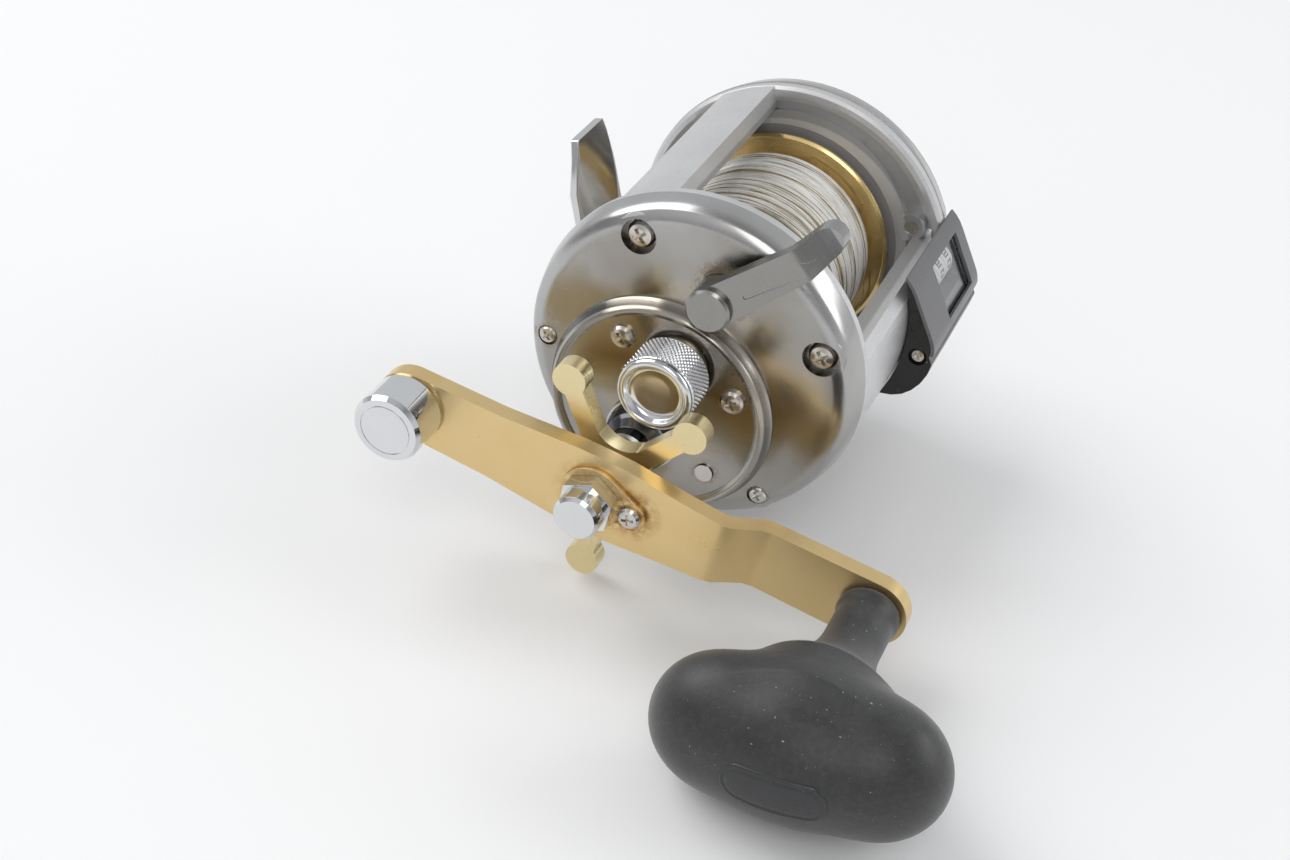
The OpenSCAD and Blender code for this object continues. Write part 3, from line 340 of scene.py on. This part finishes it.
def braid_material():
    """Line strands run round the spool, so colour changes along X and slowly round it."""
    n = Nodes("braid")
    strand = n.noise(1400, 3, 0.7, stretch=(1, 0.05, 0.05))
    wide = n.noise(160, 3, 0.6, stretch=(1, 0.25, 0.25), shift=(2, 2, 2))
    fibre = n.noise(5200, 3, 0.6)
    colour = n.ramp(strand, [(0.30, (0.30, 0.28, 0.25)), (0.42, (0.62, 0.60, 0.55)),
                             (0.50, (0.80, 0.785, 0.75)), (0.70, (0.90, 0.895, 0.875))])
    colour = n.mix(n.fit(wide, 0.52, 0.64, 0, 0.45), colour, (0.44, 0.41, 0.34))
    colour = n.mix(n.fit(fibre, 0.4, 0.65, 0, 0.25), colour, (0.25, 0.235, 0.21))
    return n.set(color=colour, rough=0.62, sheen=0.2, normal=n.bump(fibre, 0.35, 0.06 * MM))


def tan_strand_material():
    """Stained strands, browner than the rest of the line."""
    n = Nodes("braid_tan")
    fibre = n.noise(4200, 3, 0.6)
    shade = n.noise(300, 3, 0.6)
    colour = n.mix(n.fit(shade, 0.4, 0.62), (0.40, 0.30, 0.15), (0.24, 0.19, 0.12))
    return n.set(color=colour, rough=0.6, normal=n.bump(fibre, 0.35, 0.06 * MM))


def clear_material():
    """The counter's clear window, with a slight haze."""
    n = Nodes("window_clear")
    haze = n.noise(400, 3, 0.5)
    return n.set(color=(0.93, 0.95, 0.96), rough=n.fit(haze, 0.3, 0.7, 0.015, 0.05), glass=1.0, ior=1.49)


M["braid"] = braid_material()
M["braid_tan"] = tan_strand_material()
M["window_clear"] = clear_material()

# ---------- CAD nodes: their slots' materials, smooth shading and small rounded edges ----------

slot_of = {s["node"]: s["material_slot"] for s in frame["record"]["subparts"]}
weld_reach, edge_angle = 0.002 * MM, math.radians(32)
# Widths of the rounded edges, mm
tiny_width, usual_width = 0.05, 0.12
no_bevel = {"yoke_springs", "wound_line", "grip", "grip_badge", "levelwind_worm"}
tiny_bevel = {"large_plate_screws", "small_screws", "housing_screws", "retainer_screw"}
wide_bevel = {"handle_blade": 0.4, "star_drag": 0.4, "clutch_lever": 0.35, "reel_foot": 0.35,
              "frame": 0.28, "counter_housing": 0.5, "counter_bezel": 0.22, "nut_retainer": 0.2,
              "handle_nut": 0.25, "line_guide": 0.4}

for name, obj in nodes.items():
    mesh = obj.data
    mesh.materials.clear()
    mesh.materials.append(M[slot_of[name]])
    # The pack's own flat normals give way to smooth shading
    if "custom_normal" in mesh.attributes:
        mesh.attributes.remove(mesh.attributes["custom_normal"])
    for p in mesh.polygons:
        p.use_smooth = True
    weld = obj.modifiers.new("weld", "WELD")
    weld.merge_threshold = weld_reach
    if name not in no_bevel:
        edge = obj.modifiers.new("edge", "BEVEL")
        edge.width = (tiny_width if name in tiny_bevel else wide_bevel.get(name, usual_width)) * MM
        edge.segments = 3 if name in wide_bevel else 2
        edge.limit_method = "ANGLE"
        edge.angle_limit = edge_angle
        edge.use_clamp_overlap = True
        edge.harden_normals = True
        edge.miter_outer = "MITER_ARC"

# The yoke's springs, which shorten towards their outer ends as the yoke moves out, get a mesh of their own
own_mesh(nodes["yoke_springs"])

# ---------- mesh helpers ----------


def make(name, verts, faces, material, body, smooth=True):
    """Visible piece from a mesh, riding on body, with the given material."""
    mesh = bpy.data.meshes.new(name)
    mesh.from_pydata(verts, [], faces)
    mesh.update()
    bm = bmesh.new()
    bm.from_mesh(mesh)
    bmesh.ops.recalc_face_normals(bm, faces=bm.faces)
    bm.to_mesh(mesh)
    bm.free()
    for p in mesh.polygons:
        p.use_smooth = smooth
    obj = bpy.data.objects.new(name, mesh)
    bpy.context.scene.collection.objects.link(obj)
    mesh.materials.append(M[material])
    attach(obj, body)
    return obj


def grid_faces(rows, cols):
    """Faces of closed rings of points, one ring a row."""
    return [(r * cols + c, r * cols + (c + 1) % cols, (r + 1) * cols + (c + 1) % cols, (r + 1) * cols + c)
            for r in range(rows - 1) for c in range(cols)]


def tube_mesh(points, radius, sides=6):
    """Sweep of a round section along points, capped at both ends."""
    verts = []
    count = len(points)
    for i, p in enumerate(points):
        way = (points[min(i + 1, count - 1)] - points[max(i - 1, 0)]).normalized()
        side = way.cross(X_WAY).normalized()
        top = side.cross(way).normalized()
        for k in range(sides):
            t = 2 * math.pi * k / sides
            verts.append(p + side * (math.cos(t) * radius) + top * (math.sin(t) * radius))
    faces = grid_faces(count, sides)
    faces.append(tuple(range(sides - 1, -1, -1)))
    faces.append(tuple((count - 1) * sides + k for k in range(sides)))
    return verts, faces


# ---------- wound line ----------

line_lo, line_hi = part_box("wound_line")
PACK_R = (line_hi.z - line_lo.z) / 2
HALF_W = (line_hi.x - line_lo.x) / 2
CORE_R = PACK_R - 0.95 * MM
CORE_BORE_R = 9.05 * MM


def line_core():
    """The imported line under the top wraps: a ring with the shallow ridges of one layer."""
    rows, cols, turns = 300, 160, 104
    verts = []
    strand = 2 * HALF_W / turns
    for r in range(rows):
        x = -HALF_W + 2 * HALF_W * r / (rows - 1)
        for c in range(cols):
            a = 2 * math.pi * c / cols
            wave = abs(math.sin(math.pi * (x / strand + a / (2 * math.pi))))
            lump = 0.16 * MM * math.sin(x * 900 + 1.3) * math.sin(2 * a + x * 300)
            verts.append(round_x(SPOOL, x, CORE_R + 0.16 * MM * wave + lump, a))
    first = len(verts)
    for x in (-HALF_W, HALF_W):
        verts += [round_x(SPOOL, x, CORE_BORE_R, 2 * math.pi * c / cols) for c in range(cols)]
    faces = grid_faces(rows, cols)
    last = (rows - 1) * cols
    for c in range(cols):
        d = (c + 1) % cols
        faces.append((c, first + c, first + d, d))
        faces.append((last + c, last + d, first + cols + d, first + cols + c))
        faces.append((first + c, first + cols + c, first + cols + d, first + d))
    obj = make("wound_line_core", verts, faces, "braid", "spool")
    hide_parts("wound_line")


def line_wraps(name, seed, count, material, radius, lift, lean):
    """Top wraps that lean across the pack, each a turn or two long with its ends tucked in."""
    start_room, end_room = HALF_W - 1.2 * MM, HALF_W - 0.5 * MM
    steps_a_turn = 72
    rng = random.Random(seed)
    verts, faces = [], []
    for _ in range(count):
        turns = rng.uniform(0.7, 1.9)
        start = rng.uniform(-start_room, start_room)
        drift = rng.uniform(lean[0], lean[1]) * rng.choice((-1, 1)) * MM
        if abs(start + drift * turns) > start_room:
            drift = -drift * 0.5
        phase = rng.uniform(0, 2 * math.pi)
        steps = int(steps_a_turn * turns)
        rise = lift + rng.uniform(-0.08, 0.0) * MM
        points = []
        for i in range(steps + 1):
            t = i / steps
            a = phase + 2 * math.pi * turns * t
            tuck = min(1, min(t, 1 - t) * 9)
            x = start + drift * turns * t + 0.25 * MM * math.sin(3 * a + phase)
            x = max(-end_room, min(end_room, x))
            points.append(round_x(SPOOL, x, CORE_R + rise * tuck, a))
        wrap_verts, wrap_faces = tube_mesh(points, radius)
        base = len(verts)
        verts += wrap_verts
        faces += [tuple(base + k for k in face) for face in wrap_faces]
    make(name, verts, faces, material, "spool")


def line_layer(name, seed, material, radius, lift):
    """One level layer of close turns with small wanderings."""
    turns, steps = 112, 60
    end_gap = 0.6 * MM
    rng = random.Random(seed)
    wander = [rng.uniform(-0.2, 0.2) for _ in range(turns + 3)]
    heights = [rng.uniform(-0.14, 0.10) for _ in range(turns + 3)]
    points = []
    for i in range(turns * steps + 1):
        turn, part = divmod(i, steps)
        s = part / steps
        w = wander[turn] * (1 - s) + wander[turn + 1] * s
        h = heights[turn] * (1 - s) + heights[turn + 1] * s
        along = i / (turns * steps)
        a = 2 * math.pi * s
        x = -HALF_W + end_gap + 2 * (HALF_W - end_gap) * along + w * MM * math.sin(a * 2 + turn)
        points.append(round_x(SPOOL, x, CORE_R + lift + h * MM, a))
    verts, faces = tube_mesh(points, radius)
    make(name, verts, faces, material, "spool")


def loose_strand():
    """A strand that has slipped between two wraps and lies up the inside of the left flange."""
    steps, from_angle, swept = 40, 20, 46
    points = []
    for i in range(steps + 1):
        t = i / steps
        arch = math.sin(math.pi * t)
        r = PACK_R - 0.1 * MM + 2.1 * MM * arch ** 1.5
        x = -HALF_W + 0.55 * MM + 0.5 * MM * (1 - arch)
        points.append(round_x(SPOOL, x, r, math.radians(from_angle + swept * t)))
    verts, faces = tube_mesh(points, 0.13 * MM)
    make("wound_line_loose_strand", verts, faces, "braid_tan", "spool")


line_core()
line_layer("wound_line_layer", 3, "braid", 0.20 * MM, 0.34 * MM)
line_wraps("wound_line_wraps", 11, 120, "braid", 0.17 * MM, 0.64 * MM, (0.6, 5.0))
line_wraps("wound_line_tan_wraps", 23, 22, "braid_tan", 0.12 * MM, 0.78 * MM, (0.8, 5.0))
loose_strand()

# ---------- knurled cast control cap ----------


def knurled_cap():
    """The cap with a diamond knurl cut in its skirt, a plain neck and a dished end."""
    lo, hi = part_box("cast_control_cap")
    x0, x1 = lo.x, hi.x
    outer = (hi.z - lo.z) / 2
    cols, diamonds = 676, 52
    knurl_from, knurl_length, knurl_rows = 0.35 * MM, 7.1 * MM, 96
    knurl_depth, flank, slope = 0.40 * MM, 2.9, 0.78
    pitch = 2 * math.pi * outer / diamonds

    def turned(points, start):
        return [(radius * MM, start + x * MM, False) for radius, x in points]

    profile = turned([(6.46, 0), (7.2, 0), (7.45, 0.2)], x0)
    profile.insert(0, (profile[0][0], x1 - 2.05 * MM, False))
    profile += [(outer, x0 + knurl_from + i * knurl_length / (knurl_rows - 1), True)
                for i in range(knurl_rows)]
    profile += turned([(7.42, 7.62), (7.2, 7.75), (7.2, 7.95), (7.35, 8.05), (7.38, 8.3), (7.3, 8.7)], x0)
    profile += turned([(7.1, -0.25), (6.8, -0.06), (6.4, 0), (6.05, -0.06), (5.82, -0.3), (5.6, -1.0),
                       (5.2, -1.42), (4.4, -1.62), (2.6, -1.72), (0.9, -1.75)], x1)
    verts = []
    for radius, x, knurled in profile:
        v = (x - x0) / pitch * slope
        for c in range(cols):
            r = radius
            if knurled:
                u = c / cols * diamonds
                to_groove = min(abs((u + v) % 1 - 0.5), abs((u - v) % 1 - 0.5))
                r -= knurl_depth * max(0.0, 1 - flank * to_groove)
            verts.append(round_x(SPOOL, x, r, 2 * math.pi * c / cols))
    faces = grid_faces(len(profile), cols)
    faces.append(tuple((len(profile) - 1) * cols + c for c in range(cols)))
    faces.append(tuple(range(cols - 1, -1, -1)))
    obj = make("cast_control_cap_knurled", verts, faces, "knurled_cap", "cast_control")
    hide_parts("cast_control_cap")


knurled_cap()

# ---------- grip ----------

GRIP_TURN = math.atan2(BLADE_WAY.z, BLADE_WAY.y) + math.radians(14)
LONG = Vector((0, math.cos(GRIP_TURN), math.sin(GRIP_TURN)))
ACROSS = X_WAY.cross(LONG)
NECK_FROM, SKIN_FROM = 55.35, 55.36  # X of the neck's end and of the skin's first ring, mm
# The bar's lobes, mm: centre along the bar, centre in X, then radii along, in X and across
LOBES = ((-13.8, 92.8, 12.2, 10.6, 12.4), (13.8, 92.8, 12.2, 10.6, 12.4), (0, 93.6, 22.0, 12.7, 13.4))


def soft_min(a, b, k):
    h = max(k - abs(a - b), 0.0) / k
    return min(a, b) - h * h * h * k / 6


def grip_distance(x, u, v):
    """Rough distance to the grip's skin, mm: x along the spindle, u along the bar, v across it."""
    # Bar: two lobes at its ends and a fuller middle on the side away from the handle
    lobes = 1e9
    for cu, cx, ru, rx, rv in LOBES:
        d = math.sqrt(((u - cu) / ru) ** 2 + ((x - cx) / rx) ** 2 + (v / rv) ** 2)
        lobes = soft_min(lobes, (d - 1) * 12.0, 5.0)
    # Neck: a small collar at its end, then flaring into the bar like a saddle
    collar = 0.55 * max(0.0, 1 - abs(x - 56.1) / 1.6) ** 0.5
    flare = max(0.0, x - 65) ** 2 * 0.026
    neck = max(math.sqrt(u * u + v * v) - min(5.45 + collar + flare, 12.5), NECK_FROM - x, x - 90)
    return soft_min(lobes, neck, 10.0)


def grip_reach(x, dx, du, dv):
    """How far the skin lies from the spindle's axis at x along a ray, mm."""
    stride, far, halvings = 0.8, 34.0, 14

    def inside(t):
        return grip_distance(x + dx * t, du * t, dv * t) < 0

    if not inside(0.0):
        return 0.0
    t = 0.0
    while t < far and inside(t):
        t += stride
    low, high = t - stride, t
    for _ in range(halvings):
        mid = (low + high) / 2
        if inside(mid):
            low = mid
        else:
            high = mid
    return low


def on_grip(x, u, v):
    """Point from mm: x as it is, u along the bar and v across it from the spindle."""
    p = GRIP + LONG * (u * MM) + ACROSS * (v * MM)
    return Vector((x * MM, p.y, p.z))


def grip_shape():
    """The grip's skin, found along rays that leave the spindle's axis ring by ring, and its bore."""
    cols, rings, ring_step, fans = 120, 37, 0.9, 110
    tilt_from, tilt_rate, last_tilt = 68, 3.2, 88.5
    spindle_bore = [(3.06, SKIN_FROM), (3.06, 99.4), (4.1, 99.4), (4.1, 101.6)]
    # Rings up the neck, leaning back as it flares, then a fan from the last ring out to the end
    rays = []
    for i in range(rings):
        x = SKIN_FROM + i * ring_step
        rays.append((x, -math.radians(max(0.0, x - tilt_from) * tilt_rate)))
    end_x, end_tilt = rays[-1]
    for i in range(fans):
        rays.append((end_x, end_tilt + (math.radians(last_tilt) - end_tilt) * (i / (fans - 1))))

    verts = []
    for x, tilt in rays:
        dx, reach = math.sin(tilt), math.cos(tilt)
        for j in range(cols):
            a = 2 * math.pi * j / cols
            du, dv = math.cos(a) * reach, math.sin(a) * reach
            t = grip_reach(x, dx, du, dv)
            verts.append(on_grip(x + dx * t, du * t, dv * t))
    faces = grid_faces(len(rays), cols)
    tip, last = len(verts), (len(rays) - 1) * cols
    verts.append(on_grip(end_x + grip_reach(end_x, 1, 0, 0), 0, 0))
    faces += [(last + j, last + (j + 1) % cols, tip) for j in range(cols)]
    # Bore for the spindle and room for its head
    first = len(verts)
    for radius, x in spindle_bore:
        for j in range(cols):
            a = 2 * math.pi * j / cols
            verts.append(on_grip(x, radius * math.cos(a), radius * math.sin(a)))
    for r in range(len(spindle_bore) - 1):
        b0, b1 = first + r * cols, first + (r + 1) * cols
        faces += [(b0 + (j + 1) % cols, b0 + j, b1 + j, b1 + (j + 1) % cols) for j in range(cols)]
    faces += [(j, (j + 1) % cols, first + (j + 1) % cols, first + j) for j in range(cols)]
    bottom = first + (len(spindle_bore) - 1) * cols
    faces.append(tuple(bottom + j for j in range(cols)))
    obj = make("grip_shape", verts, faces, "grip_rubber", "grip")
    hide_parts("grip")
    return obj


def grip_badge(skin):
    """Blank oval badge that follows the end of the grip's skin, with a raised rim."""
    cols, rows = 96, 14
    reach, radius = 5.4, 3.9  # half the straight length, and the ends' radius
    above = 0.2  # where rays towards the skin start, in metres

    # Levels from the edge inwards, mm: how far in from the outline, and how far off the skin
    levels = [(0.0, -0.9), (0.0, 0.02), (0.12, 0.22), (0.34, 0.30), (0.5, 0.26), (0.62, 0.12), (0.8, 0.10)]
    levels += [(0.8 + 2.8 * i / rows, 0.10 + 0.12 * min(1, i / 3)) for i in range(1, rows)]
    bpy.context.view_layer.update()
    verts = []
    for shrink, rise in levels:
        for k in range(cols):
            t = 2 * math.pi * k / cols
            u, v = math.cos(t), math.sin(t)
            along = (reach if u > 0 else -reach) * min(1, abs(u) * 3) + (radius - shrink) * u
            p = on_grip(0, along, (radius - shrink) * v)
            place = skin.ray_cast(Vector((above, p.y, p.z)), -X_WAY)[1]
            verts.append(Vector((place.x + rise * MM, p.y, p.z)))
    faces = grid_faces(len(levels), cols)
    for start in (0, (len(levels) - 1) * cols):
        faces += [(start + k, start + k + 1, start + (cols - k - 1) % cols, start + (cols - k) % cols)
                  for k in range(1, cols // 2 - 1)]
        faces += [(start, start + 1, start + cols - 1),
                  (start + cols // 2 - 1, start + cols // 2, start + cols // 2 + 1)]
    obj = make("grip_badge_blank", verts, faces, "badge_rubber", "grip")
    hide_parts("grip_badge")


grip_badge(grip_shape())

# ---------- digits on the counter's wheels ----------


def digit_strokes(value):
    """Seven-bar strokes in a unit box, as pairs of points."""
    bars = {"t": ((0, 1), (1, 1)), "m": ((0, .5), (1, .5)), "b": ((0, 0), (1, 0)),
            "ul": ((0, .5), (0, 1)), "ur": ((1, .5), (1, 1)),
            "ll": ((0, 0), (0, .5)), "lr": ((1, 0), (1, .5))}
    lit = {0: "t b ul ur ll lr", 1: "ur lr", 2: "t ur m ll b", 3: "t ur m lr b", 4: "ul m ur lr",
           5: "t ul m lr b", 6: "t ul m lr b ll", 7: "t ur lr", 8: "t m b ul ur ll lr", 9: "t m b ul ur lr"}
    return [bars[k] for k in lit[value].split()]


def wheel_digits(node, body, name):
    """The digits 0 to 9 round one wheel, as thin raised bars, with 0 on top."""
    wide, tall, half_bar = 1.7 * MM, 1.25 * MM, 0.16 * MM
    sunk, raised = -0.1 * MM, 0.03 * MM
    box_faces = ((0, 1, 2, 3), (4, 7, 6, 5), (0, 4, 5, 1), (1, 5, 6, 2), (2, 6, 7, 3), (3, 7, 4, 0))
    lo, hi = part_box(node)
    x_mid = (lo.x + hi.x) / 2
    radius = (hi.z - lo.z) / 2 + 0.02 * MM
    verts, faces = [], []
    for value in range(10):
        mid = radius * (math.radians(90) - 2 * math.pi * value / 10)
        for (ax, ay), (bx, by) in digit_strokes(value):
            x0, x1 = sorted((x_mid + (ax - .5) * wide, x_mid + (bx - .5) * wide))
            s0, s1 = sorted((mid + (ay - .5) * tall, mid + (by - .5) * tall))
            x0, x1, s0, s1 = x0 - half_bar, x1 + half_bar, s0 - half_bar, s1 + half_bar
            base = len(verts)
            for lift in (sunk, raised):
                verts += [round_x(COUNTER, x, radius + lift, s / radius)
                          for x, s in ((x0, s0), (x1, s0), (x1, s1), (x0, s1))]
            faces += [tuple(base + k for k in f) for f in box_faces]
    make(name, verts, faces, "digit_ink", body, smooth=False)


wheel_digits("digit_wheel_units", "digit_units", "units_digits")
wheel_digits("digit_wheel_tens", "digit_tens", "tens_digits")
wheel_digits("digit_wheel_hundreds", "digit_hundreds", "hundreds_digits")

# ---------- floor, lights and camera ----------

TABLE_NORMAL = Vector((0.0, -0.973, 0.233)).normalized()


def floor():
    """Pale plane under the lowest point of the reel as it lies, seen only from above."""
    half, gap = 4.0, 0.2 * MM
    level = min(v.co.dot(TABLE_NORMAL) for obj in nodes.values() for v in obj.data.vertices)
    centre = Vector((30, 0, 30)) * MM
    centre -= TABLE_NORMAL * (centre.dot(TABLE_NORMAL) - level + gap)
    turn = TABLE_NORMAL.to_track_quat("Z", "Y").to_matrix()
    corners = [centre + turn @ Vector((x * half, y * half, 0))
               for x, y in ((-1, -1), (1, -1), (1, 1), (-1, 1))]
    mesh = bpy.data.meshes.new("floor")
    mesh.from_pydata(corners, [], [(0, 1, 2, 3)])
    obj = bpy.data.objects.new("floor", mesh)
    bpy.context.scene.collection.objects.link(obj)
    mat = bpy.data.materials.new("floor")
    mat.use_nodes = True
    tree = mat.node_tree
    shader = tree.nodes["Principled BSDF"]
    shader.inputs["Base Color"].default_value = (0.87, 0.87, 0.875, 1)
    shader.inputs["Roughness"].default_value = 0.85
    shader.inputs["Specular IOR Level"].default_value = 0.15
    back = tree.nodes.new("ShaderNodeNewGeometry")
    clear = tree.nodes.new("ShaderNodeBsdfTransparent")
    mix = tree.nodes.new("ShaderNodeMixShader")
    tree.links.new(back.outputs["Backfacing"], mix.inputs[0])
    tree.links.new(shader.outputs[0], mix.inputs[1])
    tree.links.new(clear.outputs[0], mix.inputs[2])
    tree.links.new(mix.outputs[0], tree.nodes["Material Output"].inputs[0])
    mesh.materials.append(mat)


floor()

# The camera's own axes and place
RIGHT = Vector((-0.39198, 0.15473, 0.90687))
UP = Vector((-0.50008, -0.86324, -0.06887))
BACK = Vector((0.77218, -0.48050, 0.41575))
CAMERA_AT = Vector((332.69, -172.04, 150.43)) * MM + PLATE

cam_data = bpy.data.cameras.new("camera")
cam_data.lens = 56.09
cam_data.sensor_width = 36
cam_data.clip_start = 0.01
cam_data.clip_end = 50
cam = bpy.data.objects.new("camera", cam_data)
bpy.context.scene.collection.objects.link(cam)
cam.matrix_world = Matrix.Translation(CAMERA_AT) @ Matrix((RIGHT, UP, BACK)).transposed().to_4x4()
bpy.context.scene.camera = cam

TARGET = Vector((35, 0, 35)) * MM


def area(name, way, distance, size, power):
    """Soft light of a given size, at a distance from the reel along way."""
    data = bpy.data.lights.new(name, "AREA")
    data.shape = "RECTANGLE"
    data.size, data.size_y = size
    data.energy = power
    obj = bpy.data.objects.new(name, data)
    bpy.context.scene.collection.objects.link(obj)
    obj.location = TARGET + way.normalized() * distance
    obj.rotation_mode = "QUATERNION"
    obj.rotation_quaternion = way.to_track_quat("Z", "Y")


# Along the table: SIDE to the camera's right, AWAY from the camera
SIDE = RIGHT - TABLE_NORMAL * RIGHT.dot(TABLE_NORMAL)
AWAY = TABLE_NORMAL.cross(SIDE)
area("top_soft", TABLE_NORMAL - SIDE * 0.85 + AWAY * 0.45, 1.7, (1.3, 1.3), 15.5)
area("front_soft", TABLE_NORMAL * 0.8 - SIDE * 0.1 - AWAY, 1.6, (1.2, 0.6), 5.5)
area("right_fill", SIDE + TABLE_NORMAL * 0.5, 1.6, (0.7, 1.2), 6.5)

# Studio sky: bright, with a dimmer band round the way that the side plate mirrors
MIRRORED = (BACK + Vector((0.445, -0.725, -0.502))).normalized()
SKY_STOPS = ((0.15, (0.97, 0.985, 1.0)), (0.62, (0.4074, 0.4137, 0.42)), (1.0, (1.0, 1.0, 1.0)))
world = bpy.data.worlds.new("studio")
bpy.context.scene.world = world
world.use_nodes = True
sky = world.node_tree
where = sky.nodes.new("ShaderNodeTexCoord")
dot = sky.nodes.new("ShaderNodeVectorMath")
dot.operation = "DOT_PRODUCT"
dot.inputs[1].default_value = MIRRORED
sky.links.new(where.outputs["Generated"], dot.inputs[0])
shade = sky.nodes.new("ShaderNodeValToRGB")
shade.color_ramp.elements.new(0.5)
for element, (at, colour) in zip(shade.color_ramp.elements, SKY_STOPS):
    element.position = at
    element.color = (*colour, 1)
sky.links.new(dot.outputs["Value"], shade.inputs[0])
sky.links.new(shade.outputs[0], sky.nodes["Background"].inputs[0])
sky.nodes["Background"].inputs[1].default_value = 0.70

scene = bpy.context.scene
scene.view_settings.view_transform = "Standard"
scene.view_settings.look = "None"
